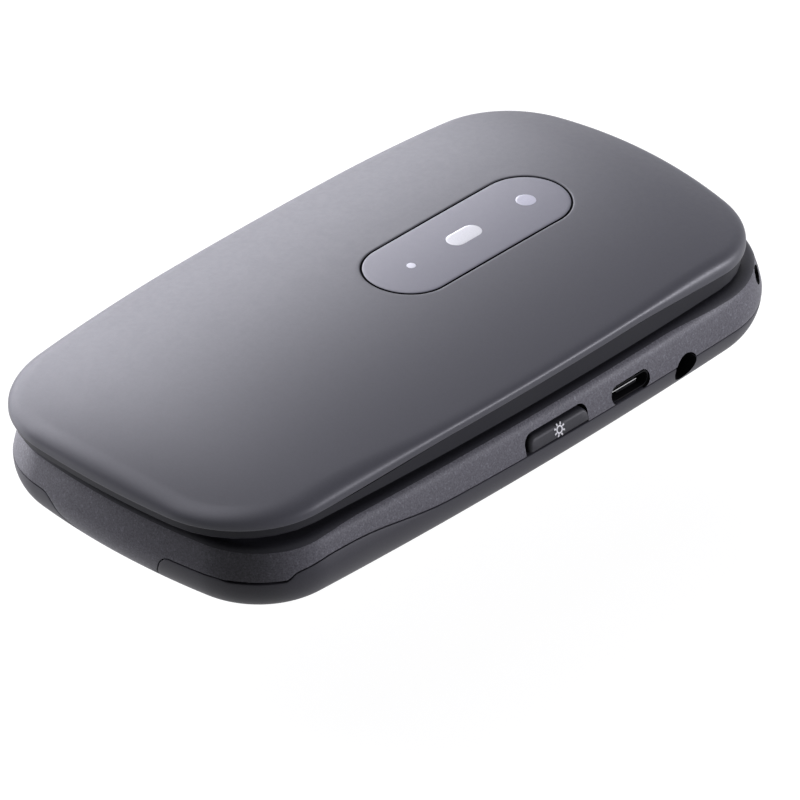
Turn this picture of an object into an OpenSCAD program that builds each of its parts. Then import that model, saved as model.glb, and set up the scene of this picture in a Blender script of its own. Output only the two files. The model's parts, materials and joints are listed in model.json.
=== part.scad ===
// Flip phone, closed and lying on its back: a base with the keypad, a lid with the display,
// and a hinge across the far end.
// X runs towards the side with the sockets, Y towards the hinge end, Z up. Millimetres.

/* [Overall form] */
// length over lid and base
phone_l = 110; // [107:0.5:120]
// width of the base along its widest line
base_w = 55.5; // [54:0.25:62]
// how far the lid stands in from the base at each side
lid_inset = 0.8; // [0.5:0.1:1.6]
// how far the lid stands beyond the base at the opening end
lid_overhang = 2.1; // [0.8:0.1:3.5]
// how far the base stands beyond the lid at the hinge end
hinge_step = 3.5; // [3:0.1:5]
// how far the bottom edge of the base tucks in
bottom_tuck = 4.45; // [3:0.05:5]
// how far the base wall leans in up to the deck
base_lean = 1; // [0.6:0.1:1.4]
// roll of the base edge over onto the deck
deck_roll = 0.8; // [0.5:0.1:1.2]

/* [Outline of base and lid] */
// corner radius of the base at the opening end
base_r_near = 13.4; // [11:0.1:16]
// corner radius of the base at the hinge end
base_r_far = 15.7; // [13:0.1:17]
// bow of the base along its sides
base_bow_side = 1.9; // [1.2:0.1:2.4]
// bow of the base across the opening end
base_bow_near = 4.05; // [3:0.05:5]
// bow of the base across the hinge end
base_bow_far = 4.9; // [4:0.1:5.6]
// corner radius of the lid at the opening end
lid_r_near = 15.1; // [13:0.1:17]
// corner radius of the lid at the hinge end
lid_r_far = 13; // [11:0.1:15]
// bow of the lid along its sides
lid_bow_side = 2.15; // [1.4:0.05:2.6]
// bow of the lid across the opening end
lid_bow_near = 3.1; // [2:0.1:4]
// bow of the lid across the hinge end
lid_bow_far = 5; // [4:0.1:5.6]

/* [Lid] */
// gap between the keys and the lid at mid length
lid_clear = 0.8; // [0.7:0.05:1.6]
// slope of the lower face of the lid in degrees
lid_tilt = 0.77; // [0.3:0.01:0.9]
// lid parting line above the lower face at the opening end
lid_edge_near = 2.4; // [2.1:0.05:2.8]
// lid parting line above the lower face along the sides
lid_edge_mid = 3.25; // [2.8:0.05:3.6]
// lid parting line above the lower face at the hinge end
lid_edge_far = 1.95; // [1.85:0.05:2.4]
// upright band of the lid cover
lid_band = 0.6; // [0.4:0.1:0.8]
// width of the soft edge of the lid cover
crease_in = 1.85; // [1.5:0.05:2.2]
// fall of the lid top towards the sides
dome_across = 3; // [2.4:0.1:3.4]
// fall of the lid top towards the near end
dome_near = 3.7; // [3:0.1:4]
// fall of the lid top towards the hinge end
dome_far = 2.85; // [2.4:0.05:3.8]
// wall of the lid cover
lid_wall = 1.5; // [1.3:0.05:1.8]
// thickness of the floor of the lid frame
frame_floor = 1.3; // [1.1:0.05:1.6]
// gap shown along the lid parting line
lid_line = 0.12; // [0.08:0.02:0.2]
// free height between lid board and lid cover
lid_room = 3.35; // [3:0.05:4]
// thickness of the display window
window_t = 0.8; // [0.6:0.05:1]
// thickness of the display panel
display_t = 1.8; // [1.4:0.05:2.4]
// thickness of the lid board
lid_board_t = 0.8; // [0.6:0.05:1]
// edge between the display window and the lid sides
window_side = 4.45; // [4:0.05:7]
// edge between the display window and the opening end
window_near = 16; // [15.5:0.25:20]
// edge between the display window and the hinge axis
window_far = 22.4; // [18:0.2:26]
// play around the display window
window_play = 0.15; // [0.1:0.05:0.25]
// ledge that the display window sits on
window_ledge = 1; // [0.8:0.1:1.5]
// earpiece from the opening end of the lid
earpiece_in = 7.4; // [7:0.1:9]
// length of the earpiece grille
earpiece_l = 11.9; // [9:0.1:13]
// width of the earpiece grille
earpiece_w = 1.7; // [1.4:0.1:2]
// thickness of the earpiece speaker
earpiece_t = 1.4; // [1:0.1:1.6]
// radius of the lid bumpers
bumper_r = 1.6; // [1.2:0.1:2]
// how far the lid bumpers stand out of the lid
bumper_h = 1.4; // [1:0.1:1.5]

/* [Lens panel] */
// length of the lens panel
panel_l = 35.1; // [30:0.1:40]
// width of the lens panel
panel_w = 12.4; // [9:0.1:14]
// middle of the lens panel from the hinge end of the lid
panel_back = 36.2; // [34:0.1:44]
// depth of the lens panel seat below the lid top
panel_depth = 0.9; // [0.8:0.05:1]
// groove around the lens panel
panel_groove = 0.2; // [0.1:0.05:0.4]
// camera window diameter
camera_d = 2.8; // [2:0.1:4]
// flash window width
flash_w = 2.9; // [2:0.1:4]
// flash window length
flash_l = 5.8; // [4.5:0.1:7]
// charge light diameter
charge_d = 1.3; // [1:0.05:2]
// camera window from the panel middle
camera_off = 11.5; // [9:0.1:13]
// flash window from the panel middle
flash_off = 0.6; // [0:0.1:2]
// charge light from the panel middle
charge_off = 10.8; // [8:0.1:13]
// width of the camera module
camera_body = 7; // [5:0.1:8]

/* [Hinge] */
// hinge axis from the lid end
hinge_back = 6.1; // [5.8:0.05:6.6]
// height of the hinge axis above the deck
hinge_rise = 2.9; // [2.8:0.05:3.2]
// how far the lid opens in degrees
lid_open = 145; // [120:1:145]
// radius of the hinge barrel
barrel_r = 2.85; // [2.6:0.05:2.9]
// length of the hinge barrel
barrel_l = 22; // [18:0.5:24]
// radius of the lid knuckles
knuckle_r = 2.2; // [1.9:0.05:2.3]
// width of the lid knuckles
knuckle_w = 5; // [3.5:0.1:5.2]
// radius of the plain hinge pin
pin_r = 1.2; // [0.9:0.05:1.5]
// radius of the hinge cam pin
cam_r = 1.4; // [1:0.05:1.6]
// wall of the hinge barrel around the cartridge
barrel_wall = 0.65; // [0.5:0.05:0.8]
// free running gap around the hinge pins
run_gap = 0.05; // [0.03:0.01:0.08]
// gap between hinge barrel and lid
hinge_gap = 0.35; // [0.25:0.05:0.5]
// gap kept by the swept end of the lid
sweep_gap = 0.5; // [0.4:0.05:0.6]
// length of the neck that carries the hinge barrel
neck_l = 8.2; // [7.6:0.1:9]

/* [Keypad] */
// width of a number key
key_w = 13.6; // [11:0.1:14]
// depth of a number key
key_h = 8.8; // [7.5:0.1:9.8]
// space between number keys across
key_space_x = 0.8; // [0.4:0.1:1.2]
// space between number keys along
key_space_y = 1.8; // [0.8:0.1:2.6]
// lowest row of number keys from the opening end of the base
key_in = 15.9; // [15.5:0.1:18]
// corner radius of the keys
key_r = 2; // [1:0.1:3.5]
// height of the keys above the deck
key_rise = 0.55; // [0.4:0.05:1]
// gap around the keys
key_gap = 0.2; // [0.15:0.01:0.3]
// lip of a key under the deck
key_lip = 0.5; // [0.4:0.05:0.7]
// thickness of the lip of a key
key_lip_t = 0.5; // [0.4:0.05:0.7]
// gap between the lip of a key and the deck
lip_gap = 0.2; // [0.15:0.05:0.3]
// free height under the keys
key_free = 0.4; // [0.35:0.05:0.6]
// thickness of the deck
deck_t = 1.55; // [1.3:0.05:1.9]
// space between the number keys and the direction ring
nav_space = 4; // [2:0.1:6]
// radius of the direction ring
nav_r = 10.3; // [9:0.1:11]
// radius of the OK key
ok_r = 5; // [4:0.1:6]
// space between the direction ring and the keys beside it
side_key_space = 1.6; // [1:0.1:2]
// width of the soft, call and end keys
side_key_w = 9.4; // [8:0.1:9.8]
// depth of the soft, call and end keys
side_key_h = 8.6; // [7.5:0.1:9.5]
// space between the soft keys and the call and end keys
side_key_split = 2.4; // [1.2:0.1:3]

/* [Sockets and side keys] */
// USB socket from the hinge end of the base
usb_back = 37; // [35:0.1:39]
// length of the USB opening in the wall
usb_l = 7.6; // [7.5:0.1:8.4]
// height of the USB opening in the wall
usb_h = 2.7; // [2.6:0.05:3]
// audio jack from the hinge end of the base
jack_back = 25.8; // [24:0.1:28]
// radius of the audio jack bore
jack_r = 1.8; // [1.76:0.01:1.9]
// depth of the audio jack bore
jack_deep = 10.4; // [9:0.1:12]
// radius of the hole for the audio plug in the wall
jack_hole_r = 2.15; // [2:0.05:2.4]
// torch key from the hinge end of the base
torch_key_back = 51.6; // [50:0.1:56]
// length of the torch key
torch_key_l = 11.6; // [9:0.1:13]
// volume key from the hinge end of the base
volume_back = 43; // [40:0.5:48]
// length of the volume key
volume_l = 16; // [12:0.5:20]
// how far the side keys end below the deck
side_under = 0.6; // [0.5:0.05:0.9]
// gap around the side keys
side_gap = 0.25; // [0.15:0.05:0.35]
// thickness of the flange of a side key
flange_t = 0.7; // [0.6:0.05:0.9]
// radius of the torch lens
torch_r = 1.45; // [1.1:0.05:1.6]
// length of the torch lens
torch_l = 2; // [1.4:0.1:2.4]
// length of the torch LED
led_l = 2.4; // [1.6:0.1:3]
// how far the torch lens lies below the end face
torch_in = 0.3; // [0.1:0.05:0.5]
// radius of the strap tunnel
strap_r = 1.2; // [0.9:0.05:1.3]
// radius that the strap tunnel bends on
strap_bend = 2.2; // [2:0.05:2.6]

/* [Base inside] */
// thickness of the battery cover
cover_t = 1.1; // [0.9:0.05:1.5]
// wall of the battery cover
cover_wall = 3; // [2.7:0.05:3.3]
// gap along the cover parting line
cover_line = 0.16; // [0.1:0.01:0.25]
// highest point of the cover parting line above the chassis
cover_peak = 1.53; // [1.2:0.01:1.7]
// cover parting line below the chassis at the opening end
cover_near = 0.15; // [0.1:0.01:0.3]
// cover parting line below the chassis at mid length
cover_mid = 0.35; // [0.3:0.01:0.5]
// widest line of the base below the chassis
waist_drop = 0.15; // [0.05:0.05:0.4]
// wall of the keypad housing
house_wall = 2; // [1.8:0.05:2.2]
// thickness of the rear chassis
chassis_t = 0.6; // [0.5:0.05:0.9]
// thickness of the main board
board_t = 0.8; // [0.6:0.05:1.2]
// thickness of the dome sheet
dome_t = 0.15; // [0.1:0.01:0.3]
// thickness of the key mat
mat_t = 0.4; // [0.3:0.05:0.7]
// battery width
battery_w = 34; // [30:0.5:37]
// battery length
battery_l = 53; // [48:0.5:56]
// battery thickness
battery_t = 4.45; // [4:0.05:5.5]
// battery from the opening end of the base
battery_in = 10.9; // [10.7:0.1:12]
// play around the battery
battery_play = 0.25; // [0.2:0.05:0.4]
// wall around the battery
pocket_wall = 0.8; // [0.6:0.05:1]
// radius of the screw shanks
screw_r = 0.8; // [0.6:0.05:0.9]
// radius of the screw heads
head_r = 1.6; // [1.3:0.05:1.7]
// radius of the loudspeaker
speaker_r = 7; // [6:0.1:7.5]
// thickness of the loudspeaker
speaker_t = 3.6; // [2.5:0.1:4]
// radius of the vibration motor
motor_r = 5; // [4:0.1:5.4]
// thickness of the vibration motor
motor_t = 2.7; // [2:0.1:3.4]
// width of the SIM holder
sim_w = 14.2; // [12:0.1:14.6]
// length of the SIM holder
sim_l = 5.6; // [5:0.1:7]
// thickness of the SIM holder
sim_t = 1.6; // [1.4:0.05:2]
// microphone from the opening end of the base
mic_in = 7.7; // [7.5:0.1:8.2]

/* [Hidden] */
$fn = 48;
side_n = 6;
corner_n = 7;
end_n = 4;
lap = 0.1;
seat_gap = 0.02;
beyond = 12;
// heights, stacked from the table up
chassis_z = cover_t + battery_play + battery_t;
board_z = chassis_z + chassis_t;
mat_z = board_z + board_t;
key_low = mat_z + dome_t + mat_t + key_free;
lip_top = key_low + key_lip_t;
deck_low = lip_top + lip_gap;
deck_z = deck_low + deck_t;
key_top = deck_z + key_rise;
rim_z = deck_z - deck_roll;
waist_z = chassis_z - waist_drop;
side_top = deck_low - side_under;
lid_low = key_top + lid_clear;
phone_h = lid_low + window_t + display_t + lid_board_t + lid_room + lid_wall;
hinge_z = deck_z + hinge_rise;
panel_z = phone_h - panel_depth;
// lengths, from the two ends
lid_w = base_w - 2 * lid_inset;
lid_near = -phone_l / 2;
lid_far = phone_l / 2 - hinge_step;
base_near = lid_near + lid_overhang;
base_far = phone_l / 2;
lid_mid = (lid_near + lid_far) / 2;
axis_y = lid_far - hinge_back;
tilt_y = lid_mid - 3.25;
// hinge
barrel_half = barrel_l / 2;
notch_half = barrel_half + hinge_gap;
knuckle_end = notch_half + knuckle_w;
cartridge_r = barrel_r - barrel_wall;
pin_seat = 5;
pin_end = 0.4;
cam_seat = 2.6;
neck_turn = 179 - lid_open;
notch_deep = neck_l + 0.8;
// shelf of the housing under the hinge end
shelf_y = axis_y - hinge_back - sweep_gap - 1.6;
board_in = cover_wall + 0.3;
board_near = base_near + 5.5;
board_far = shelf_y - 0.6;
// lid pieces
head_t = 0.65;
lid_head_r = head_r + 0.1;
head_play = 0.15;
boss_r = 2.2;
screw_l = 3.4;
near_boss_side = 8.95;
near_boss_in = 11;
far_boss_side = 7.45;
far_boss_back = 13.4;
bumper_side = 14.95;
bumper_in = 6.5;
lid_near_screw = [lid_w / 2 - near_boss_side, lid_near + near_boss_in];
lid_far_screw = [lid_w / 2 - far_boss_side, axis_y - far_boss_back];
bumper_at = [lid_w / 2 - bumper_side, lid_near + bumper_in];
lid_board_side = 7.5;
lid_board_near = 1.8;
lid_board_far = 6.2;
lid_board_r = 1.5;
earpiece_body = 6;
earpiece_end = 1.5;
earpiece_round = 1;
peg_r = 0.9;
window_w = lid_w - 2 * window_side;
window_y0 = lid_near + window_near;
window_y1 = axis_y - window_far;
window_l = window_y1 - window_y0;
window_y = (window_y0 + window_y1) / 2;
earpiece_y = lid_near + earpiece_in;
lid_board_z = window_t + display_t;
panel_y = lid_far - panel_back;
camera_y = panel_y + camera_off;
flash_y = panel_y - flash_off;
charge_y = panel_y - charge_off;
// keys
key_dx = key_w + 2 * key_lip + key_space_x;
key_dy = key_h + 2 * key_lip + key_space_y;
key_y = base_near + key_in;
nav_y = key_y + 3 * key_dy + key_h / 2 + 2 * key_lip + nav_space + nav_r;
side_key_x = nav_r + 2 * key_lip + side_key_space + side_key_w / 2;
side_key_dy = (side_key_h + 2 * key_lip + side_key_split) / 2;
number_at = [for (r = [3:-1:0], c = [-1:1]) [c * key_dx, key_y + r * key_dy]];
// sockets and side keys
usb_y = base_far - usb_back;
usb_drop = 0.65;
usb_in = 1.2;
usb_shell = 5.25;
usb_tail_l = 2.3;
usb_wall = 0.3;
usb_soft = 0.45;
usb_slope = 0.9;
usb_tongue = 1.9;
usb_z = mat_z - usb_drop;
usb_mouth = base_w / 2 - usb_in;
usb_tail = usb_mouth - usb_shell - usb_tail_l;
jack_y = base_far - jack_back;
jack_drop = 2.95;
jack_in = 0.9;
jack_back_wall = 0.35;
jack_side_wall = 1.2;
jack_top_wall = 0.7;
jack_foot = 2.3;
jack_foot_t = 0.45;
jack_post = 1.4;
jack_foot_half = 2;
jack_z = mat_z - jack_drop;
jack_mouth = base_w / 2 - cover_wall - jack_in;
jack_tail = jack_mouth - jack_deep - jack_back_wall;
jack_half = jack_r + jack_side_wall;
jack_rise = jack_r + jack_top_wall;
torch_key_y = base_far - torch_key_back;
volume_y = base_far - volume_back;
flange_x = base_w / 2 - house_wall - 0.5;
flange_lip = 0.7;
torch_z = board_z;
led_y = base_far - torch_in - torch_l - led_l;
strap_at = [base_w / 2 - 5.25, base_far - 5.2];
// base inside
battery_y = base_near + battery_in + battery_l / 2;
pocket_far = battery_y + battery_l / 2 + battery_play + pocket_wall;
near_screw_x = 11;
near_screw_in = 6.9;
far_screw_side = 8.25;
base_near_screw = [near_screw_x, base_near + near_screw_in];
base_far_screw = [base_w / 2 - far_screw_side, jack_y + jack_half + head_r + 0.8];
bolt_r = head_r + 0.5;
speaker_edge = -3;
speaker_space = 1.4;
sim_space = 0.75;
motor_space = 1.1;
bay_x = (speaker_edge + jack_tail) / 2;
sim_at = [bay_x, pocket_far + sim_space + sim_l / 2];
motor_at = [bay_x, sim_at[1] + sim_l / 2 + motor_space + motor_r];
speaker_at = [speaker_edge - speaker_r, pocket_far + speaker_space + speaker_r];
mic_y = base_near + mic_in;
cover_near_z = chassis_z - cover_near;
cover_slope = 0.0155;
cover_mid_z = chassis_z - cover_mid;
cover_peak_z = chassis_z + cover_peak;
tongue_left = 13;
tongue_right = 9.4;
tongue_deep = 6.3;

// outline of a bowed rounded rectangle, drawn quarter by quarter
function corner_x(a, b, r, ss, se, x, k) =
  k == 0 ? x : corner_x(a, b, r, ss, se, a - r - ss * pow((b - r - se * pow(x / a, 2)) / b, 2), k - 1);
function quarter(a, b, r, ss, se, t) =
  let(xc = corner_x(a, b, r, ss, se, a - r, 12),
      yc = b - r - se * pow(xc / a, 2),
      n1 = atan(2 * ss * yc / b / b),
      n2 = atan2(1, 2 * se * xc / a / a))
  concat(
    [for (k = [0:side_n - 1])
      let(y = yc * k / side_n, g = 2 * ss * y / b / b, h = sqrt(1 + g * g))
      [a - r - ss * pow(y / b, 2) + (r - t) / h, y + (r - t) * g / h]],
    [for (k = [0:corner_n])
      let(th = n1 + (n2 - n1) * k / corner_n)
      [xc + (r - t) * cos(th), yc + (r - t) * sin(th)]],
    [for (k = [end_n - 1:-1:0])
      let(x = xc * k / end_n, g = 2 * se * x / a / a, h = sqrt(1 + g * g))
      [x + (r - t) * g / h, b - r - se * pow(x / a, 2) + (r - t) / h]]);
function outline(w, y0, y1, rn, rf, ss, sn, sf, t) =
  let(a = w / 2, b = (y1 - y0) / 2, m = (y0 + y1) / 2,
      qn = quarter(a, b, rn, ss, sn, t),
      qf = quarter(a, b, rf, ss, sf, t),
      n = len(qn),
      right = concat([for (k = [n - 1:-1:0]) [qn[k][0], m - qn[k][1]]],
                     [for (k = [1:n - 1]) [qf[k][0], m + qf[k][1]]]),
      c = len(right))
  concat(right, [for (k = [c - 2:-1:1]) [-right[k][0], right[k][1]]]);
function base_ring(t) =
  outline(base_w, base_near, base_far, base_r_near, base_r_far,
    base_bow_side, base_bow_near, base_bow_far, t);
function lid_ring(t) =
  outline(lid_w, lid_near, lid_far, lid_r_near, lid_r_far, lid_bow_side, lid_bow_near, lid_bow_far, t);
function lid_far_quarter() =
  quarter(lid_w / 2, (lid_far - lid_near) / 2, lid_r_far, lid_bow_side, lid_bow_far, 0);
function smooth(a, b, y) = let(u = max(0, min(1, (y - a) / (b - a)))) u * u * (3 - 2 * u);
function lift(points, z) = [for (p = points) [p[0], p[1], z]];

// heights over the lid
function lid_edge(y) =
  lid_low + lid_edge_near + (lid_edge_mid - lid_edge_near) * smooth(lid_near + 18, lid_near + 41, y)
  - (lid_edge_mid - lid_edge_far) * smooth(lid_far - 33.5, lid_far - 6.5, y);
function lid_face(y) = lid_low - tan(lid_tilt) * (y - tilt_y);
function dome(p) =
  phone_h - dome_across * pow(p[0] / (lid_w / 2 - crease_in), 2)
  - (p[1] < lid_mid ? dome_near : dome_far) * pow(abs(p[1] - lid_mid) / ((lid_far - lid_near) / 2 - crease_in), 6);
function cover_edge(y) =
  let(flat = cover_mid_z - cover_slope * max(base_near + 32.9, min(base_far - 15, y)))
  flat + (cover_peak_z - flat) * smooth(base_near + 35.9, base_near + 18.9, y)
  - (cover_peak_z - cover_near_z) * smooth(base_near + 15.9, base_near + 1.9, y);
function inner_top(p, lower, least) = max(dome(p) - lid_wall - lower, lid_edge(p[1]) + least);
function boss_top(at) = dome(at) - lid_wall + 0.4 - lid_face(at[1]);

// solid between stacked rings, closed by a fan at each end
module loft(rings, first, last) {
  n = len(rings[0]);
  m = len(rings);
  points = concat([for (r = rings) for (p = r) p], [first, last]);
  sides = [for (i = [0:m - 2], j = [0:n - 1], h = [0:1])
    let(a = i * n + j, b = i * n + (j + 1) % n, c = b + n, d = a + n)
    h == 0 ? [a, d, c] : [a, c, b]];
  low = [for (j = [0:n - 1]) [m * n, j, (j + 1) % n]];
  high = [for (j = [0:n - 1]) [m * n + 1, (m - 1) * n + (j + 1) % n, (m - 1) * n + j]];
  polyhedron(points = points, faces = concat(low, sides, high), convexity = 6);
}

// rounded rectangle as a point list
function rounded(w, h, r) =
  [for (q = [0:3], k = [0:4])
    let(t = q * 90 + k * 22.5, sx = (q == 0 || q == 3) ? 1 : -1, sy = q < 2 ? 1 : -1)
    [sx * (w / 2 - r) + r * cos(t), sy * (h / 2 - r) + r * sin(t)]];
module plate(w, h, r, z0, z1) {
  translate([0, 0, z0]) linear_extrude(z1 - z0) polygon(rounded(w, h, r));
}
module slot(w, l, z0, z1) {
  translate([0, 0, z0]) linear_extrude(z1 - z0) polygon(
    [for (k = [0:24]) let(t = k * 7.5, e = l / 2 - w / 2) [w / 2 * cos(t), e + w / 2 * sin(t)],
     for (k = [0:24]) let(t = 180 + k * 7.5, e = l / 2 - w / 2) [w / 2 * cos(t), -e + w / 2 * sin(t)]]);
}
module rod(at, r, z0, z1) {
  translate([at[0], at[1], z0]) cylinder(r = r, h = z1 - z0);
}
module block(x0, x1, y0, y1, z0, z1) {
  translate([x0, y0, z0]) cube([x1 - x0, y1 - y0, z1 - z0]);
}
module hinge_rod(r, x0, x1) {
  translate([x0, axis_y, hinge_z]) rotate([0, 90, 0]) cylinder(r = r, h = x1 - x0);
}
module across(x0, x1, points) {
  translate([x0, 0, 0]) rotate([90, 0, 90]) linear_extrude(x1 - x0) polygon(points);
}
module along(y0, y1, points) {
  translate([0, y1, 0]) rotate([90, 0, 0]) linear_extrude(y1 - y0) polygon(points);
}
module in_lid() {
  translate([0, tilt_y, lid_low]) rotate([-lid_tilt, 0, 0]) translate([0, -tilt_y, 0]) children();
}

// outer forms
module base_form() {
  under = [for (k = [0:5]) [bottom_tuck * (1 - sin(18 * k)), waist_z * (1 - cos(18 * k))]];
  over = [[base_lean * 0.42, (waist_z + rim_z) / 2], [base_lean, rim_z],
          [base_lean + deck_roll / 2, deck_z - 0.25], [base_lean + 1.5 * deck_roll, deck_z]];
  rings = [for (s = concat(under, over)) lift(base_ring(s[0]), s[1])];
  middle = (base_near + base_far) / 2;
  loft(rings, [0, middle, 0], [0, middle, deck_z]);
}
function lid_scaled(f) = [for (p = lid_ring(crease_in)) [p[0] * f, lid_mid + (p[1] - lid_mid) * f]];
function lid_outer() =
  let(edge = lid_ring(0), top = lid_ring(crease_in), n = len(edge),
      soft = [[0, 0], [0.16, 0.5], [0.48, 0.8], [1, 1]])
  concat(
    [[for (p = edge) [p[0], p[1], lid_edge(p[1])]]],
    [for (s = soft)
      let(ring = lid_ring(crease_in * s[0]))
      [for (j = [0:n - 1])
        let(low = lid_edge(edge[j][1]) + lid_band)
        [ring[j][0], ring[j][1], low + (dome(top[j]) - low) * s[1]]]],
    [for (f = [0.93, 0.82, 0.65, 0.4]) [for (p = lid_scaled(f)) [p[0], p[1], dome(p)]]]);
module lid_form() {
  loft(lid_outer(), [0, lid_mid, lid_low + lid_edge_mid], [0, lid_mid, phone_h]);
}
module below_line(lower) {
  y0 = base_near - beyond;
  y1 = base_far + beyond;
  n = 32;
  points = concat([[y0, -beyond], [y1, -beyond]],
    [for (k = [0:n]) let(y = y1 + (y0 - y1) * k / n) [y, cover_edge(y) - lower]]);
  across(-base_w, base_w, points);
}
module tongue(grow) {
  l = -tongue_left - grow;
  r = tongue_right + grow;
  top = deck_z - 1;
  z = cover_near_z;
  along(base_near - beyond, base_near + tongue_deep + grow,
    [[l, top], [l, z], [l + 1.5, z - 1.1], [l + 2.6, z - 2.6], [l + 4.6, z - 3.5], [l + 7, z - 4.5],
     [l + 8, -beyond], [r - 2.8, -beyond], [r - 2.2, z - 3.9], [r - 0.8, z - 1.1], [r, z - 0.2], [r, top]]);
}
module pry_step(grow) {
  translate([base_w / 2 - 5.45, base_near + 4.6, cover_near_z - 0.3 - grow]) rotate([0, 0, 45])
    translate([-4.6 - grow, -4, 0]) cube([9.2 + 2 * grow, 8, 4]);
}
module swept_end() {
  q = lid_far_quarter();
  n = len(q);
  half = [for (k = [n - 1:-1:0])
    if (q[k][1] + lid_mid > axis_y + 1)
      [q[k][1] + lid_mid - axis_y + sweep_gap, q[k][0]]];
  c = len(half);
  translate([0, axis_y, hinge_z]) rotate([0, 90, 0]) rotate_extrude() polygon(
    concat([[0, -half[c - 1][1]]], [for (k = [c - 1:-1:1]) [half[k][0], -half[k][1]]],
      half, [[0, half[c - 1][1]]]));
}

// lid
function lid_screw_at() = [for (s = [-1, 1], at = [lid_near_screw, lid_far_screw]) [s * at[0], at[1]]];
module lid_outer_cover() {
  color([0.36, 0.36, 0.39]) difference() {
    union() {
      loft(concat(
          [for (f = [0.35, 0.6, 0.85]) [for (p = lid_scaled(f)) [p[0], p[1], dome(p) - lid_wall]],
           [for (p = lid_ring(crease_in + 1.4)) [p[0], p[1], inner_top(p, 0, lid_band)]],
           [for (p = lid_ring(crease_in - 0.3)) [p[0], p[1], inner_top(p, 0.5, lid_band / 2)]],
           [for (p = lid_ring(crease_in - 0.4)) [p[0], p[1], lid_edge(p[1])]]],
          lid_outer()),
        [0, lid_mid, phone_h - lid_wall], [0, lid_mid, phone_h]);
      in_lid() for (at = lid_screw_at()) rod(at, boss_r, frame_floor, boss_top(at));
    }
    translate([0, panel_y, 0])
      slot(panel_w + 2 * panel_groove, panel_l + 2 * panel_groove, panel_z, phone_h + beyond);
    rod([0, camera_y], camera_d / 2 - 0.3, panel_z - lid_wall - 1, phone_h + beyond);
    hinge_rod(barrel_r + hinge_gap, -notch_half, notch_half);
    hinge_rod(knuckle_r + lap, -knuckle_end - 0.3, knuckle_end + 0.3);
    in_lid() for (at = lid_screw_at()) rod(at, screw_r + seat_gap, 0, screw_l + 0.2);
  }
}
module lens_panel() {
  color([0.44, 0.44, 0.5]) difference() {
    intersection() {
      translate([0, panel_y, 0]) slot(panel_w, panel_l, panel_z, phone_h + beyond);
      lid_form();
    }
    rod([0, camera_y], camera_d / 2 + seat_gap, panel_z - 1, phone_h + 1);
    rod([0, charge_y], charge_d / 2 + seat_gap, panel_z - 1, phone_h + 1);
    translate([0, flash_y, 0])
      slot(flash_w + 2 * seat_gap, flash_l + 2 * seat_gap, panel_z - 1, phone_h + 1);
  }
}
module camera_window() {
  color([0.8, 0.8, 0.86])
    rod([0, camera_y], camera_d / 2, panel_z, dome([camera_d / 2, camera_y + camera_d / 2]));
}
module flash_window() {
  color([0.9, 0.9, 0.92]) translate([0, flash_y, 0])
    slot(flash_w, flash_l, panel_z, dome([flash_w / 2, flash_y + flash_l / 2]));
}
module charge_light() {
  color([0.9, 0.9, 0.92]) rod([0, charge_y], charge_d / 2, panel_z, dome([charge_d / 2, charge_y]));
}
module camera_module() {
  low = lid_board_z + lid_board_t;
  high = low + lid_room - 0.85;
  color([0.08, 0.08, 0.09]) in_lid() union() {
    translate([0, camera_y, 0]) plate(camera_body, camera_body, 0.5, low, high - 0.6);
    rod([0, camera_y], camera_body / 2 - 1.1, high - 1, high);
  }
}
module lid_inner_frame() {
  color([0.2, 0.2, 0.22]) difference() {
    union() {
      loft([
          [for (p = lid_ring(1)) [p[0], p[1], lid_face(p[1])]],
          [for (p = lid_ring(0.7)) [p[0], p[1], lid_face(p[1]) + 0.3]],
          [for (p = lid_ring(0.35)) [p[0], p[1], lid_edge(p[1]) - lid_line]],
          [for (p = lid_ring(2.4)) [p[0], p[1], lid_edge(p[1]) - lid_line]],
          [for (p = lid_ring(2.5)) [p[0], p[1], lid_face(p[1]) + frame_floor]]],
        [0, lid_mid, lid_face(lid_mid)], [0, lid_mid, lid_face(lid_mid) + frame_floor]);
      for (s = [-1, 1]) {
        hinge_rod(knuckle_r, s > 0 ? notch_half : -knuckle_end, s > 0 ? knuckle_end : -notch_half);
        block(s > 0 ? notch_half : -knuckle_end, s > 0 ? knuckle_end : -notch_half,
          axis_y - 5, axis_y, lid_face(axis_y) + 0.4, hinge_z + 1);
      }
    }
    block(-notch_half, notch_half, axis_y - notch_deep, axis_y + beyond, deck_low, phone_h);
    hinge_rod(cam_r, -knuckle_end - 1, 0);
    hinge_rod(pin_r, 0, knuckle_end + 1);
    in_lid() {
      translate([0, window_y, 0])
        plate(window_w + 2 * window_play, window_l + 2 * window_play, 2.5 + window_play, -2, window_t);
      translate([0, window_y, 0])
        plate(window_w - 2 * window_ledge, window_l - 3 * window_ledge, 1.5, -2, frame_floor + 3);
      translate([0, earpiece_y, 0]) rotate([0, 0, 90])
        slot(earpiece_w + lap, earpiece_l + lap, -2, window_t);
      translate([0, earpiece_y, 0]) rotate([0, 0, 90])
        slot(earpiece_w - 0.7, earpiece_l - 1.3, -2, frame_floor + 3);
      for (at = lid_screw_at()) {
        rod(at, lid_head_r + head_play, -2, head_t + 0.05);
        rod(at, screw_r + lap, -2, frame_floor + 3);
      }
      for (s = [-1, 1]) rod([s * bumper_at[0], bumper_at[1]], peg_r + seat_gap, -2, frame_floor - 0.4);
    }
  }
}
module display_window() {
  color([0.03, 0.03, 0.04]) in_lid() translate([0, window_y, 0])
    plate(window_w, window_l, 2.5, 0.05, window_t);
}
module display_panel() {
  color([0.1, 0.11, 0.14]) in_lid() translate([0, window_y, 0])
    plate(window_w - 2 * window_ledge - 0.6, window_l - 3 * window_ledge - 0.6, 1.2, window_t, lid_board_z);
}
module earpiece_grille() {
  color([0.5, 0.5, 0.52]) in_lid() translate([0, earpiece_y, 0]) rotate([0, 0, 90])
    slot(earpiece_w, earpiece_l, 0.2, window_t);
}
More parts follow.
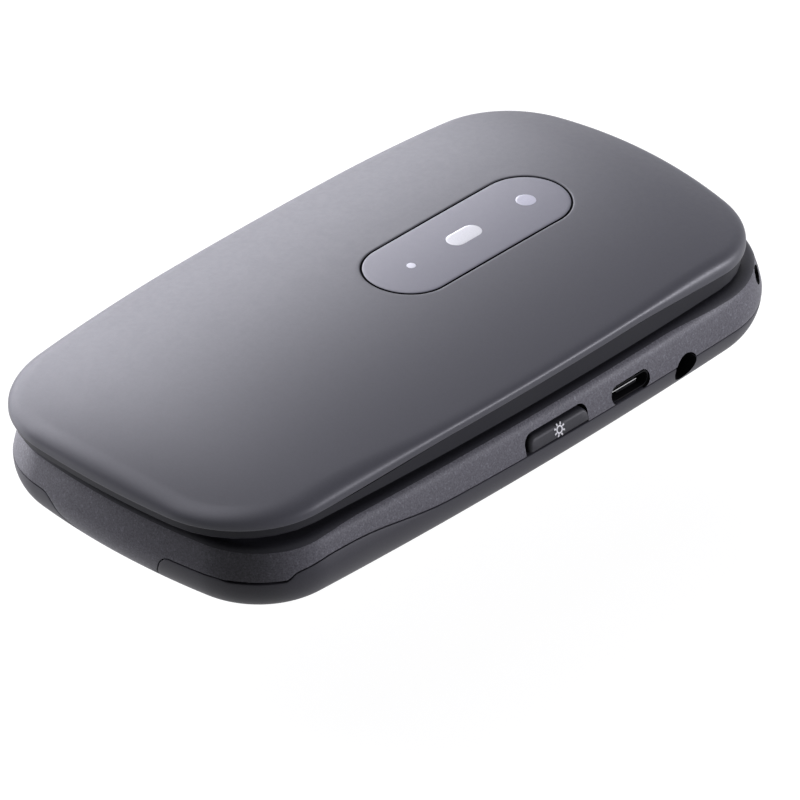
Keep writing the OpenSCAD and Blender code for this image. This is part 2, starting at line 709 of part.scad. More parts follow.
module earpiece_speaker() {
  color([0.12, 0.12, 0.13]) in_lid() translate([0, earpiece_y, 0])
    plate(earpiece_l + 2 * earpiece_end, earpiece_body, earpiece_round,
      frame_floor, frame_floor + earpiece_t);
}
module lid_board() {
  y0 = window_y0 + lid_board_near;
  y1 = camera_y + lid_board_far;
  color([0.05, 0.25, 0.15]) in_lid() translate([0, (y0 + y1) / 2, 0])
    plate(window_w - 2 * lid_board_side, y1 - y0, lid_board_r, lid_board_z, lid_board_z + lid_board_t);
}
module cross_cut(at, r, z0, z1) {
  for (t = [45, 135]) translate([at[0], at[1], z0]) rotate([0, 0, t])
    translate([-r, -0.22, 0]) cube([2 * r, 0.44, z1 - z0]);
}
module lid_screw(at) {
  color([0.55, 0.55, 0.57]) in_lid() difference() {
    union() {
      rod(at, lid_head_r, 0.05, 0.05 + head_t);
      rod(at, screw_r, head_t - 0.05, screw_l);
    }
    cross_cut(at, lid_head_r - 0.6, -1, 0.35);
  }
}
module lid_screws() {
  for (at = lid_screw_at()) lid_screw(at);
}
module lid_bumper(s) {
  color([0.1, 0.1, 0.1]) in_lid() union() {
    rod([s * bumper_at[0], bumper_at[1]], bumper_r, -bumper_h, 0);
    rod([s * bumper_at[0], bumper_at[1]], peg_r, -lap, frame_floor - 0.5);
  }
}
module lid_bumpers() {
  lid_bumper(-1);
  lid_bumper(1);
}

// hinge
module hinge_cam_pin() {
  color([0.6, 0.6, 0.62]) hinge_rod(cam_r, -knuckle_end + pin_end, -barrel_half + cam_seat);
}
module hinge_pin() {
  color([0.6, 0.6, 0.62]) hinge_rod(pin_r, barrel_half - pin_seat, knuckle_end - pin_end);
}
module hinge_cartridge() {
  color([0.5, 0.5, 0.53]) difference() {
    hinge_rod(cartridge_r, -barrel_half + 0.2, -0.6);
    hinge_rod(cam_r + run_gap, -barrel_half - 1, -barrel_half + cam_seat + 0.4);
  }
}
module display_cable() {
  color([0.7, 0.45, 0.15]) difference() {
    hinge_rod(cartridge_r, 0, barrel_half - pin_seat - 1);
    hinge_rod(cartridge_r - 0.6, -1, barrel_half - pin_seat);
  }
}

// base shell
module keypad_openings(grow, z0, z1) {
  for (at = number_at) translate([at[0], at[1], 0])
    plate(key_w + 2 * grow, key_h + 2 * grow, key_r + grow, z0, z1);
  for (x = [-side_key_x, side_key_x], y = [nav_y - side_key_dy, nav_y + side_key_dy]) translate([x, y, 0])
    plate(side_key_w + 2 * grow, side_key_h + 2 * grow, key_r + grow, z0, z1);
  rod([0, nav_y], nav_r + grow, z0, z1);
}
module side_opening(s, y, l) {
  low = cover_edge(y) - 1;
  inner = base_w / 2 - house_wall - 5;
  outer = base_w / 2 + beyond;
  across(s > 0 ? inner : -outer, s > 0 ? outer : -inner,
    [for (p = rounded(l + 2 * side_gap, 2 * (side_top + side_gap - low), 1.5)) [y + p[0], low + p[1]]]);
}
function bolts() = [for (s = [-1, 1], at = [base_near_screw, base_far_screw]) [s * at[0], at[1]]];
module jack_hole() {
  translate([base_w / 2 - 6, jack_y, jack_z]) rotate([0, 90, 0]) cylinder(r = jack_hole_r, h = beyond);
}
module keypad_housing() {
  neck_z = hinge_z - 9 * sin(neck_turn);
  color([0.24, 0.24, 0.26]) difference() {
    union() {
      difference() {
        base_form();
        difference() {
          below_line(-cover_line / 2);
          tongue(-cover_line / 2);
          pry_step(-cover_line / 2);
        }
        difference() {
          translate([0, 0, -1]) linear_extrude(deck_low + 1) polygon(base_ring(house_wall));
          block(-tongue_left, tongue_right + 0.6, base_near - 1, base_near + 4.9, -2, deck_z);
          block(-base_w, base_w, shelf_y, base_far + beyond, chassis_z, deck_z);
          for (at = bolts()) rod(at, bolt_r, mat_z, deck_z);
        }
        difference() {
          swept_end();
          across(-barrel_half, barrel_half, [[axis_y, hinge_z], [axis_y - 9 * cos(neck_turn), neck_z],
            [axis_y - 12, neck_z], [axis_y - 12, hinge_z + 4], [axis_y, hinge_z + 4]]);
        }
      }
      across(-barrel_half, barrel_half, [[axis_y - 0.5, hinge_z - 0.5 * tan(neck_turn)],
        [axis_y - 0.5, hinge_z + 1], [axis_y - 2.6, hinge_z + 1], [axis_y - neck_l, deck_z],
        [axis_y - neck_l, deck_z - 1], [axis_y - (hinge_rise + 1) / tan(neck_turn), deck_z - 1]]);
      hinge_rod(barrel_r, -barrel_half, barrel_half);
    }
    keypad_openings(key_gap, key_low, key_top);
    keypad_openings(key_lip + key_gap, mat_z + dome_t, deck_low);
    hinge_rod(cartridge_r, -barrel_half - 1, barrel_half - pin_seat - 1);
    hinge_rod(pin_r + run_gap, barrel_half - pin_seat - 2, barrel_half + 1);
    side_opening(1, torch_key_y, torch_key_l);
    side_opening(-1, volume_y, volume_l);
    translate([0, usb_y, usb_z]) across(usb_tail, base_w / 2 + beyond, rounded(usb_l, usb_h, 0.9));
    jack_hole();
    translate([0, led_y, torch_z]) rotate([-90, 0, 0]) cylinder(r = torch_r + seat_gap, h = beyond);
    translate([strap_at[0], strap_at[1], torch_z + 1.9])
      rotate_extrude() translate([strap_bend, 0]) circle(r = strap_r);
    rod([0, mic_y], 0.6, mat_z, deck_z + 1);
    for (at = bolts()) rod(at, screw_r + seat_gap, mat_z - 1, deck_z - 1.2);
  }
}
module battery_cover() {
  color([0.26, 0.26, 0.28]) difference() {
    intersection() {
      base_form();
      below_line(cover_line / 2);
    }
    tongue(cover_line / 2);
    pry_step(cover_line / 2);
    translate([0, 0, cover_t]) linear_extrude(deck_z) polygon(base_ring(cover_wall));
    jack_hole();
    for (k = [-2:2]) translate([speaker_at[0] + k * 2.4, speaker_at[1], 0])
      slot(1, speaker_r + 1 - abs(k), -1, cover_t + 1);
  }
}

// keys
module key_body(w, h) {
  plate(w, h, key_r, key_low, key_top);
  plate(w + 2 * key_lip, h + 2 * key_lip, key_r + key_lip, key_low, lip_top);
}
module number_key(k) {
  color([0.3, 0.3, 0.33]) translate([number_at[k][0], number_at[k][1], 0]) union() key_body(key_w, key_h);
}
module key_1() { number_key(0); }
module key_2() { number_key(1); }
module key_3() { number_key(2); }
module key_4() { number_key(3); }
module key_5() { number_key(4); }
module key_6() { number_key(5); }
module key_7() { number_key(6); }
module key_8() { number_key(7); }
module key_9() { number_key(8); }
module key_star() { number_key(9); }
module key_0() { number_key(10); }
module key_hash() { number_key(11); }
module corner_key(sx, sy, tone) {
  color(tone) translate([sx * side_key_x, nav_y + sy * side_key_dy, 0])
    union() key_body(side_key_w, side_key_h);
}
module key_soft_l() { corner_key(-1, 1, [0.3, 0.3, 0.33]); }
module key_soft_r() { corner_key(1, 1, [0.3, 0.3, 0.33]); }
module key_call() { corner_key(-1, -1, [0.16, 0.4, 0.22]); }
module key_end() { corner_key(1, -1, [0.5, 0.14, 0.14]); }
module key_nav() {
  color([0.34, 0.34, 0.37]) difference() {
    union() {
      rod([0, nav_y], nav_r, key_low, key_top);
      rod([0, nav_y], nav_r + key_lip, key_low, lip_top);
    }
    rod([0, nav_y], ok_r + key_gap, key_low - 1, key_top + 1);
  }
}
module key_ok() {
  color([0.3, 0.3, 0.33]) rod([0, nav_y], ok_r, key_low, key_top - 0.1);
}
module side_key(s, y, l) {
  low = cover_edge(y) + side_gap;
  half = base_w / 2;
  back = flange_x - flange_t;
  mirror([s > 0 ? 0 : 1, 0, 0]) union() {
    intersection() {
      across(back, half + 1,
        [for (p = rounded(l, 2 * (side_top - low), 1.3)) [y + p[0], low + p[1]]]);
      along(y - l, y + l, [[back - 1, low], [half + 0.05, low], [half - 0.1, low + 0.8],
        [half - 0.55, side_top], [back - 1, side_top]]);
    }
    block(back, flange_x, y - l / 2 - flange_lip, y + l / 2 + flange_lip, low, side_top + 0.3);
  }
}
module torch_key() { color([0.22, 0.22, 0.24]) side_key(1, torch_key_y, torch_key_l); }
module volume_key() { color([0.22, 0.22, 0.24]) side_key(-1, volume_y, volume_l); }

// base inside
module inner_sheet(z0, z1) {
  intersection() {
    translate([0, 0, z0]) linear_extrude(z1 - z0) polygon(base_ring(board_in));
    block(-base_w, base_w, board_near, board_far, z0 - 1, z1 + 1);
  }
}
module side_key_gaps(z0, z1) {
  inner = flange_x - flange_t - 1.1;
  t = torch_key_l / 2 + flange_lip + 0.5;
  v = volume_l / 2 + flange_lip + 0.5;
  block(inner, base_w, torch_key_y - t, torch_key_y + t, z0, z1);
  block(-base_w, -inner, volume_y - v, volume_y + v, z0, z1);
}
module socket_gaps(z0, z1) {
  block(usb_tail + usb_tail_l - 0.3, base_w, usb_y - usb_l / 2 - 0.4, usb_y + usb_l / 2 + 0.4, z0, z1);
  block(jack_tail - 0.3, base_w, jack_y - jack_half - 0.4, jack_y + jack_half + 0.4, z0, z1);
  side_key_gaps(z0, z1);
}
module screw_holes(r, z0, z1) {
  for (at = bolts()) rod(at, r, z0, z1);
}
module pad_sheet(z0, z1) {
  w = 2 * key_dx + key_w + 0.6;
  y0 = key_y - key_h / 2 - 0.6;
  y1 = nav_y + nav_r - 1.8;
  difference() {
    translate([0, (y0 + y1) / 2, 0]) plate(w, y1 - y0, 4, z0, z1);
    block(usb_tail - 1, base_w, usb_y - usb_l / 2 - 1, usb_y + usb_l / 2 + 1, z0 - 1, z1 + 1);
    block(jack_tail - jack_foot - 0.5, base_w, jack_y - jack_half, jack_y + jack_half, z0 - 1, z1 + 1);
    side_key_gaps(z0 - 1, z1 + 1);
    for (at = bolts()) rod(at, bolt_r + 0.3, z0 - 1, z1 + 1);
  }
}
module key_mat() {
  color([0.6, 0.6, 0.62]) pad_sheet(mat_z + dome_t, mat_z + dome_t + mat_t);
}
module dome_sheet() {
  color([0.75, 0.72, 0.6]) pad_sheet(mat_z, mat_z + dome_t);
}
module main_board() {
  color([0.05, 0.3, 0.18]) difference() {
    inner_sheet(board_z, mat_z);
    socket_gaps(board_z - 1, mat_z + 1);
    screw_holes(screw_r + 0.15, board_z - 1, mat_z + 1);
  }
}
module rear_chassis() {
  w = battery_w + 2 * battery_play;
  l = battery_l + 2 * battery_play;
  color([0.16, 0.16, 0.17]) difference() {
    union() {
      inner_sheet(chassis_z, board_z);
      translate([0, battery_y, 0]) difference() {
        plate(w + 2 * pocket_wall, l + 2 * pocket_wall, 1.6, cover_t + 0.5, chassis_z + lap);
        plate(w, l, 0.8, 0, chassis_z);
      }
    }
    socket_gaps(chassis_z - 1, board_z + 1);
    screw_holes(screw_r + 0.15, chassis_z - 1, board_z + 1);
  }
}
module usb_connector() {
  w = usb_l / 2 - 0.1;
  h = usb_h / 2 - 0.15;
  s = usb_soft;
  g = usb_slope;
  e = usb_wall;
  back = usb_tail + usb_tail_l;
  shell = [[-w, h - s], [s - w, h], [w - s, h], [w, h - s], [w, -h / 4], [w - g, -h], [g - w, -h],
    [-w, -h / 4]];
  hole = [[e - w, h - e - s], [e + s - w, h - e], [w - e - s, h - e], [w - e, h - e - s],
    [w - e, lap - h / 4], [w - e / 2 - g, e - h], [g + e / 2 - w, e - h], [e - w, lap - h / 4]];
  color([0.75, 0.75, 0.77]) union() {
    difference() {
      translate([0, usb_y, usb_z]) across(back, usb_mouth, shell);
      translate([0, usb_y, usb_z]) across(back + 3 * usb_wall, usb_mouth + beyond, hole);
    }
    translate([0, usb_y, usb_z])
      block(back + 2 * usb_wall, usb_mouth - 2 * usb_wall, -usb_tongue, usb_tongue, -usb_wall / 2, usb_soft);
    block(usb_tail, back + usb_wall, usb_y - w + usb_slope, usb_y + w - usb_slope, mat_z, usb_z + h - lap);
  }
}
module audio_jack() {
  y0 = jack_y - jack_foot_half;
  y1 = jack_y + jack_foot_half;
  color([0.1, 0.1, 0.11]) difference() {
    union() {
      block(jack_tail, jack_mouth, jack_y - jack_half, jack_y + jack_half,
        jack_z - jack_rise, jack_z + jack_rise);
      block(jack_tail - jack_foot, jack_tail + jack_post, y0, y1, mat_z, mat_z + jack_foot_t);
      block(jack_tail, jack_tail + jack_post, y0, y1, jack_z, mat_z + jack_foot_t);
    }
    translate([jack_mouth - jack_deep, jack_y, jack_z]) rotate([0, 90, 0])
      cylinder(r = jack_r, h = jack_deep + beyond);
  }
}
module torch_led() {
  color([0.9, 0.85, 0.4]) translate([0, led_y, torch_z]) rotate([-90, 0, 0])
    cylinder(r = torch_r, h = led_l);
}
module torch_lens() {
  color([0.85, 0.87, 0.9]) translate([0, led_y + led_l, torch_z]) rotate([-90, 0, 0])
    cylinder(r = torch_r, h = torch_l);
}
module battery() {
  color([0.2, 0.22, 0.26]) translate([0, battery_y, 0])
    plate(battery_w, battery_l, 0.8, chassis_z - battery_t, chassis_z);
}
module sim_holder() {
  color([0.7, 0.7, 0.72]) translate([sim_at[0], sim_at[1], 0]) difference() {
    plate(sim_w, sim_l, 0.5, chassis_z - sim_t, chassis_z);
    translate([0, -1, 0]) plate(sim_w - 1.4, sim_l, 0.4, chassis_z - sim_t + 0.4, chassis_z - 0.3);
  }
}
module loudspeaker() {
  color([0.12, 0.12, 0.13]) rod(speaker_at, speaker_r, chassis_z - speaker_t, chassis_z);
}
module vibration_motor() {
  color([0.65, 0.65, 0.67]) rod(motor_at, motor_r, chassis_z - motor_t, chassis_z);
}
module microphone() {
  color([0.7, 0.6, 0.3]) rod([0, mic_y], 1.8, mat_z, mat_z + 1);
}
module base_screw(at) {
  color([0.55, 0.55, 0.57]) difference() {
    union() {
      rod(at, head_r, chassis_z - 0.8, chassis_z);
      rod(at, screw_r, chassis_z - lap, deck_z - 1.6);
    }
    cross_cut(at, head_r - 0.6, chassis_z - 2, chassis_z - 0.4);
  }
}
module base_screws() {
  for (at = bolts()) base_screw(at);
}

lid_outer_cover();
lens_panel();
camera_window();
flash_window();
charge_light();
camera_module();
lid_inner_frame();
display_window();
display_panel();
earpiece_speaker();
earpiece_grille();
lid_board();
lid_screws();
lid_bumpers();
hinge_cam_pin();
hinge_pin();
hinge_cartridge();
display_cable();
keypad_housing();
key_1();
key_2();
key_3();
key_4();
key_5();
key_6();
key_7();
key_8();
key_9();
key_star();
key_0();
key_hash();
key_soft_l();
key_soft_r();
key_call();
key_end();
key_nav();
key_ok();
key_mat();
dome_sheet();
main_board();
rear_chassis();
sim_holder();
usb_connector();
audio_jack();
torch_led();
torch_lens();
torch_key();
volume_key();
battery();
battery_cover();
loudspeaker();
vibration_motor();
microphone();
base_screws();
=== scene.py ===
"""A closed flip phone lying on its back, in looks: skins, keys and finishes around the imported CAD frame."""
import bisect
import json
import math

import bmesh
import bpy
from mathutils import Matrix, Vector
from mathutils.geometry import tessellate_polygon


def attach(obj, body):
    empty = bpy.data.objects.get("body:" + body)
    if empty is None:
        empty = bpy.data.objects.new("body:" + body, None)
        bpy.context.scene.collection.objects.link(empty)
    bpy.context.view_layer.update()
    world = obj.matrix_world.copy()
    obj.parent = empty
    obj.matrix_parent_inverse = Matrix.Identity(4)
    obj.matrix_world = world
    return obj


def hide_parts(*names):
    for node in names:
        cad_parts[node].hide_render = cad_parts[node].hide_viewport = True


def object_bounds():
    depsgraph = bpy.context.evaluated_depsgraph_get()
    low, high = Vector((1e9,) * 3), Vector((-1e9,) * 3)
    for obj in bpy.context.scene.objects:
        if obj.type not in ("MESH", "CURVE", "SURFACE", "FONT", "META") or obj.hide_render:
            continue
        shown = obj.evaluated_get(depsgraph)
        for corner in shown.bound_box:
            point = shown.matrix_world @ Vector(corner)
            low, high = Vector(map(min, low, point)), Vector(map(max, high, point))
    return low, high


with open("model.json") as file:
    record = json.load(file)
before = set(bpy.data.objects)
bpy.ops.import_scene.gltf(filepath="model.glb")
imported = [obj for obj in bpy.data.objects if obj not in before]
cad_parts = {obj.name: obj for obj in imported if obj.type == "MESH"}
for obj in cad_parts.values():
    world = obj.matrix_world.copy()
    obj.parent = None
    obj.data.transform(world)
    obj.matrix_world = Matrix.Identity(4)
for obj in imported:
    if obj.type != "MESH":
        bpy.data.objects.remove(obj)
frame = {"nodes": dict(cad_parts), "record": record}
cad_box = [list(corner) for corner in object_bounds()]
scene = bpy.context.scene
MM = 0.001

# sizes in millimetres, the same as in the part's source
BASE_W, BASE_NEAR, BASE_FAR = 55.5, -52.9, 55.0
LID_W, LID_NEAR, LID_FAR = 53.9, -55.0, 51.5
LID_MID = (LID_NEAR + LID_FAR) / 2
TUCK, WAIST, RIM, DECK, LEAN, ROLL_LOW, ROLL_IN = 4.45, 5.65, 9.6, 10.4, 1.0, 8.6, 2.75
# height on the rolled rim where the deck's darker finish, painted shade for the gap under the lid, begins
DECK_SHADE_LOW = 9.55
DECK_LOW, HOUSE_WALL = 8.85, 2.0
LID_LOW, TOP, CREASE, LID_BAND = 11.75, 20.0, 1.85, 0.6
AXIS_Y, AXIS_Z, BARREL_R, BARREL_HALF = 45.4, 13.3, 2.85, 11.0
SWEEP_GAP, NECK_TURN, NECK_L = 0.65, math.radians(34), 8.2
SHELF_Y, SHELF_LOW, SHELF_IN = 37.2, 5.8, 1.6
COVER_T, COVER_WALL = 1.1, 3.0
KEY_LOW, KEY_LIP_TOP, KEY_TOP, KEY_R, KEY_LIP, KEY_GAP = 8.15, 8.7, 10.95, 2.0, 0.5, 0.2
KEY_W, KEY_H, KEY_DX, KEY_DY, KEY_Y = 13.6, 8.8, 15.4, 11.6, -37.0
NAV_Y, NAV_R, OK_R, OK_TOP = 17.5, 10.3, 5.0, KEY_TOP - 0.1
SIDE_KEY_X, SIDE_KEY_DY, SIDE_KEY_W, SIDE_KEY_H = 17.6, 6.0, 9.4, 8.6
TORCH_KEY_Y, TORCH_KEY_L, VOLUME_Y, VOLUME_L = 3.4, 11.6, 12.0, 16.0
SIDE_TOP, SIDE_GAP = 8.25, 0.25
USB_Y, USB_Z, USB_L, USB_H = 18.0, 6.55, 7.6, 2.7
JACK_Y, JACK_Z, JACK_HOLE_R = 29.2, 4.25, 2.15
TORCH_Z, TORCH_R, TORCH_LED_Y = 6.4, 1.45, 50.3
STRAP_X, STRAP_Y, STRAP_Z, STRAP_BEND, STRAP_R = 22.5, 49.8, 8.3, 2.2, 1.2
MIC_Y = -45.2
PICTURE_W, PICTURE_L, PICTURE_Y = 39.6, 55.2, -8.0
GRILLE_Y, GRILLE_L, GRILLE_W, GRILLE_LOW, GRILLE_HIGH = -47.59, 11.86, 1.66, 12.53, 13.1
SPEAKER_X, SPEAKER_Y, SLIT_PITCH, SLIT_L, SLIT_W = -10.0, 20.4, 2.4, 8, 1
PANEL_Y, PANEL_HALF, PANEL_R, PANEL_GROOVE = 15.3, 17.55, 6.2, 0.24
CAMERA_Y, CAMERA_R, FLASH_Y, CHARGE_Y, CHARGE_R = 26.8, 1.4, 14.7, 4.5, 0.65
FLASH_R, FLASH_HALF, PANEL_SINK = 1.45, 2.9, 0.022
PANEL_LOW, PANEL_HIGH = PANEL_Y - PANEL_HALF + PANEL_R, PANEL_Y + PANEL_HALF - PANEL_R
RIGHT, OUTSIDE = BASE_W / 2, BASE_W / 2 + 6
USB_R, KEY_SOFT, KEY_BOW, NAV_BOW, KEY_EASE = 1.25, 0.34, 0.1, 0.06, 0.06
ROUND_STEPS, TINY = 72, 1e-12
# the lid's lower edge, band, crease and dome
EDGE_UP, EDGE_RISE, EDGE_FALL, BAND_MORE, CREASE_MORE = 2.2, 1.05, 1.3, 0.22, 1.3
LID_BEND, LID_FLAT, LID_STEP = 0.62, 1.1, 0.2
DOME_SIDE, DOME_X, DOME_NEAR, DOME_FAR, DOME_Y = 3, 25.1, 3.7, 2.85, 51.4
# the battery cover's upper edge, and the finger slot in it at the near right corner
COVER_Z, COVER_SLOPE, COVER_PEAK, COVER_DROP = 5.45, 0.0155, 7.33, 1.68
SLOT_X, SLOT_Y, SLOT_Z, SLOT_WIDE, NO_SLOT = 22.3, -48.3, 5.35, 0.26, 99.0


# small helpers
def ramp(a, b, y):
    u = min(1.0, max(0.0, (y - a) / (b - a)))
    return u * u * (3 - 2 * u)


def mix(a, b, f):
    return a + (b - a) * f


def table(points, x):
    if x <= points[0][0]:
        return points[0][1]
    for (x0, y0), (x1, y1) in zip(points, points[1:]):
        if x <= x1:
            return mix(y0, y1, (x - x0) / (x1 - x0))
    return points[-1][1]


def lid_edge(y):
    """Height of the lid's lower edge, which is highest along the middle."""
    return LID_LOW + EDGE_UP + EDGE_RISE * ramp(-47, -14, y) - EDGE_FALL * ramp(18, 45, y)


def lid_band(y):
    """Height of the upright band round the lid, which is lower at both ends."""
    return LID_BAND + BAND_MORE * ramp(-50, -36, y) * (1 - ramp(18, 45, y))


def deck_shade_from(y):
    """Height on the skin where the deck's darker finish begins: painted shade for the gap under the lid,
    reaching lower at both ends.
    """
    return DECK_SHADE_LOW + 0.55 * ramp(-46, -32, y) * (1 - ramp(26, 40, y))


def crease_in(y):
    """How far inside the outline the lid's shoulder meets its dome."""
    return CREASE + CREASE_MORE * ramp(-12, -46, y)


def dome(x, y):
    """Height of the lid's outer face."""
    fall = DOME_NEAR if y < LID_MID else DOME_FAR
    return TOP - DOME_SIDE * (x / DOME_X) ** 2 - fall * (abs(y - LID_MID) / DOME_Y) ** 6


def cover_edge(y):
    """Height of the battery cover's upper edge, with a hump at the near end."""
    flat = COVER_Z - COVER_SLOPE * min(40.0, max(-20.0, y))
    return flat + (COVER_PEAK - flat) * ramp(17, 34, -y) - COVER_DROP * ramp(37, 51, -y)


def bezier(u):
    """The weights of a cubic curve's four points."""
    return (1 - u) ** 3, 3 * u * (1 - u) ** 2, 3 * u * u * (1 - u), u ** 3


def quarter(a, b, r, side_bow, end_bow, counts):
    """A quarter of an outline: a bowed side, a round corner and a bowed end."""
    xc = a - r
    for _ in range(12):
        xc = a - r - side_bow * ((b - r - end_bow * (xc / a) ** 2) / b) ** 2
    yc = b - r - end_bow * (xc / a) ** 2
    turn_from = math.atan(2 * side_bow * yc / b ** 2)
    turn_to = math.atan2(1, 2 * end_bow * xc / a ** 2)
    points = []
    for k in range(counts[0]):
        y = yc * k / counts[0]
        g = 2 * side_bow * y / b ** 2
        h = math.hypot(1, g)
        points.append((a - r - side_bow * (y / b) ** 2 + r / h, y + r * g / h, 1 / h, g / h))
    for k in range(counts[1]):
        t = mix(turn_from, turn_to, k / counts[1])
        points.append((xc + r * math.cos(t), yc + r * math.sin(t), math.cos(t), math.sin(t)))
    for k in range(counts[2] + 1):
        x = xc * (1 - k / counts[2])
        g = 2 * end_bow * x / a ** 2
        h = math.hypot(1, g)
        points.append((x + r * g / h, b - r - end_bow * (x / a) ** 2 + r / h, g / h, 1 / h))
    return points


def outline(w, y0, y1, near, far, side_bow, near_counts, far_counts):
    """Points round the plan with their outward directions, from the near end's middle by the right side."""
    b = (y1 - y0) / 2
    m = (y0 + y1) / 2
    low = quarter(w / 2, b, near[0], side_bow, near[1], near_counts)
    high = quarter(w / 2, b, far[0], side_bow, far[1], far_counts)
    right = [(x, m - y, nx, -ny) for x, y, nx, ny in reversed(low)]
    right += [(x, m + y, nx, ny) for x, y, nx, ny in high[1:]]
    left = [(-x, y, -nx, ny) for x, y, nx, ny in reversed(right[1:-1])]
    return right + left


def inset(points, t):
    return [(x - t * nx, y - t * ny) for x, y, nx, ny in points]


def rounded(cx, cy, w, h, r, n=8):
    corners = ((1, 1), (-1, 1), (-1, -1), (1, -1))
    points = []
    for k, (sx, sy) in enumerate(corners):
        for i in range(n + 1):
            t = math.pi / 2 * (k + i / n)
            points.append((cx + sx * (w / 2 - r) + r * math.cos(t), cy + sy * (h / 2 - r) + r * math.sin(t)))
    return points


def circle(cx, cy, r, n=48):
    turns = [2 * math.pi * k / n for k in range(n)]
    return [(cx + r * math.cos(t), cy + r * math.sin(t)) for t in turns]


def turned(points, angle):
    c, s = math.cos(angle), math.sin(angle)
    return [(x * c - y * s, x * s + y * c) for x, y in points]


def lift(points, z):
    return [(x, y, z) for x, y in points]


def placed(name, data):
    """A new object in the scene."""
    made = bpy.data.objects.new(name, data)
    scene.collection.objects.link(made)
    return made


def paint(piece, *finishes):
    for finish in finishes:
        piece.data.materials.append(finish)
    return piece


def reform(mesh, work):
    """Lets a step work on a mesh in its editable form."""
    form = bmesh.new()
    form.from_mesh(mesh)
    work(form)
    form.to_mesh(mesh)
    form.free()


class Shell:
    """Rings of points joined into one mesh."""

    def __init__(self):
        self.points = []
        self.faces = []

    def ring(self, points):
        start = len(self.points)
        self.points.extend(points)
        return list(range(start, start + len(points)))

    def bridge(self, a, b):
        n = len(a)
        for j in range(n):
            k = (j + 1) % n
            self.faces.append((a[j], a[k], b[k], b[j]))

    def loft(self, rings):
        made = [self.ring(r) for r in rings]
        for a, b in zip(made, made[1:]):
            self.bridge(a, b)
        return made

    def fan(self, ring, point, down=False):
        tip = self.ring([point])[0]
        n = len(ring)
        for j in range(n):
            a, b = ring[j], ring[(j + 1) % n]
            self.faces.append((b, a, tip) if down else (a, b, tip))

    def fill(self, loops, down=False):
        flat = [i for loop in loops for i in loop]
        plan = [[Vector((self.points[i][0], self.points[i][1], 0)) for i in loop] for loop in loops]
        for tri in tessellate_polygon(plan):
            a, b, c = (flat[k] for k in tri)
            pa, pb, pc = self.points[a], self.points[b], self.points[c]
            turn = (pb[0] - pa[0]) * (pc[1] - pa[1]) - (pb[1] - pa[1]) * (pc[0] - pa[0])
            if abs(turn) < TINY:
                continue
            self.faces.append((a, b, c) if (turn > 0) != down else (c, b, a))

    def caps(self, low, high):
        self.faces.append(tuple(reversed(low)))
        self.faces.append(tuple(high))

    def build(self, name, angle=32.0):
        mesh = bpy.data.meshes.new(name)
        mesh.from_pydata([(x * MM, y * MM, z * MM) for x, y, z in self.points], [], self.faces)
        mesh.validate()
        made = placed(name, mesh)
        soften(made, angle)
        return made


def soften(piece, angle):
    mesh = piece.data
    for face in mesh.polygons:
        face.use_smooth = True
    mesh.set_sharp_from_angle(angle=math.radians(angle))
    mesh.update()


def final_mesh(piece):
    graph = bpy.context.evaluated_depsgraph_get()
    graph.update()
    return bpy.data.meshes.new_from_object(piece.evaluated_get(graph))


def settle(piece):
    """Puts the piece's modifiers into its mesh."""
    made = final_mesh(piece)
    piece.modifiers.clear()
    piece.data = made


def remove(piece):
    mesh = piece.data
    bpy.data.objects.remove(piece)
    if mesh.users == 0:
        bpy.data.meshes.remove(mesh)


def cut(piece, tool, how="DIFFERENCE", folded=False):
    """Takes the tool out of the piece, or joins the two; folded is for a piece that crosses itself."""
    step = piece.modifiers.new("cut", "BOOLEAN")
    put(step, operation=how, solver="EXACT", use_self=folded, material_mode="TRANSFER", object=tool)
    settle(piece)
    remove(tool)


def sideways(u, v, h):
    """For a prism that runs along X."""
    return h, u, v


def prism(name, points, place, low, high):
    """A solid over a flat outline; place turns (u, v, height) into a point."""
    shell = Shell()
    a = shell.ring([place(u, v, low) for u, v in points])
    b = shell.ring([place(u, v, high) for u, v in points])
    shell.bridge(a, b)
    shell.caps(a, b)
    return upright(shell.build(name))


def upright(piece):
    """Turns every face outwards."""
    reform(piece.data, lambda form: bmesh.ops.recalc_face_normals(form, faces=form.faces))
    return piece


def join(piece, *others):
    reform(piece.data, lambda form: [form.from_mesh(other.data) for other in others])
    for other in others:
        remove(other)


def smooth_copy(node, name):
    """A node's own form with its rounded faces shaded smooth."""
    mesh = frame["nodes"][node].data.copy()
    mesh.materials.clear()
    made = placed(name, mesh)

    def clean(form):
        bmesh.ops.remove_doubles(form, verts=form.verts, dist=1e-7)
        bmesh.ops.dissolve_limit(form, angle_limit=math.radians(0.5), verts=form.verts, edges=form.edges)

    reform(mesh, clean)
    soften(made, 30.0)
    even = made.modifiers.new("even", "WEIGHTED_NORMAL")
    even.keep_sharp = True
    settle(made)
    return made


# materials
def nodes_of(name):
    made = bpy.data.materials.new(name)
    made.use_nodes = True
    tree = made.node_tree
    return made, tree, tree.nodes["Principled BSDF"]


def put(node, **values):
    """Sets a thing's own settings, or a node's inputs by name."""
    for key, value in values.items():
        if hasattr(node, key):
            setattr(node, key, value)
        else:
            node.inputs[key.replace("_", " ")].default_value = value
    return node


def add(tree, kind, **values):
    return put(tree.nodes.new(kind), **values)


def reckon(tree, how, a, b):
    node = add(tree, "ShaderNodeMath", operation=how)
    tree.links.new(a, node.inputs[0])
    tree.links.new(b, node.inputs[1])
    return node.outputs[0]


def noise(tree, place, scale, detail, rough):
    node = add(tree, "ShaderNodeTexNoise", Scale=scale, Detail=detail, Roughness=rough)
    tree.links.new(place, node.inputs["Vector"])
    return node.outputs["Fac"]


def spread(tree, value, low, high, start=0.3, end=0.7):
    node = add(tree, "ShaderNodeMapRange", From_Min=start, From_Max=end, To_Min=low, To_Max=high)
    tree.links.new(value, node.inputs["Value"])
    return node.outputs["Result"]


def colours_of(sockets):
    return [s for s in sockets if s.type == "RGBA"]


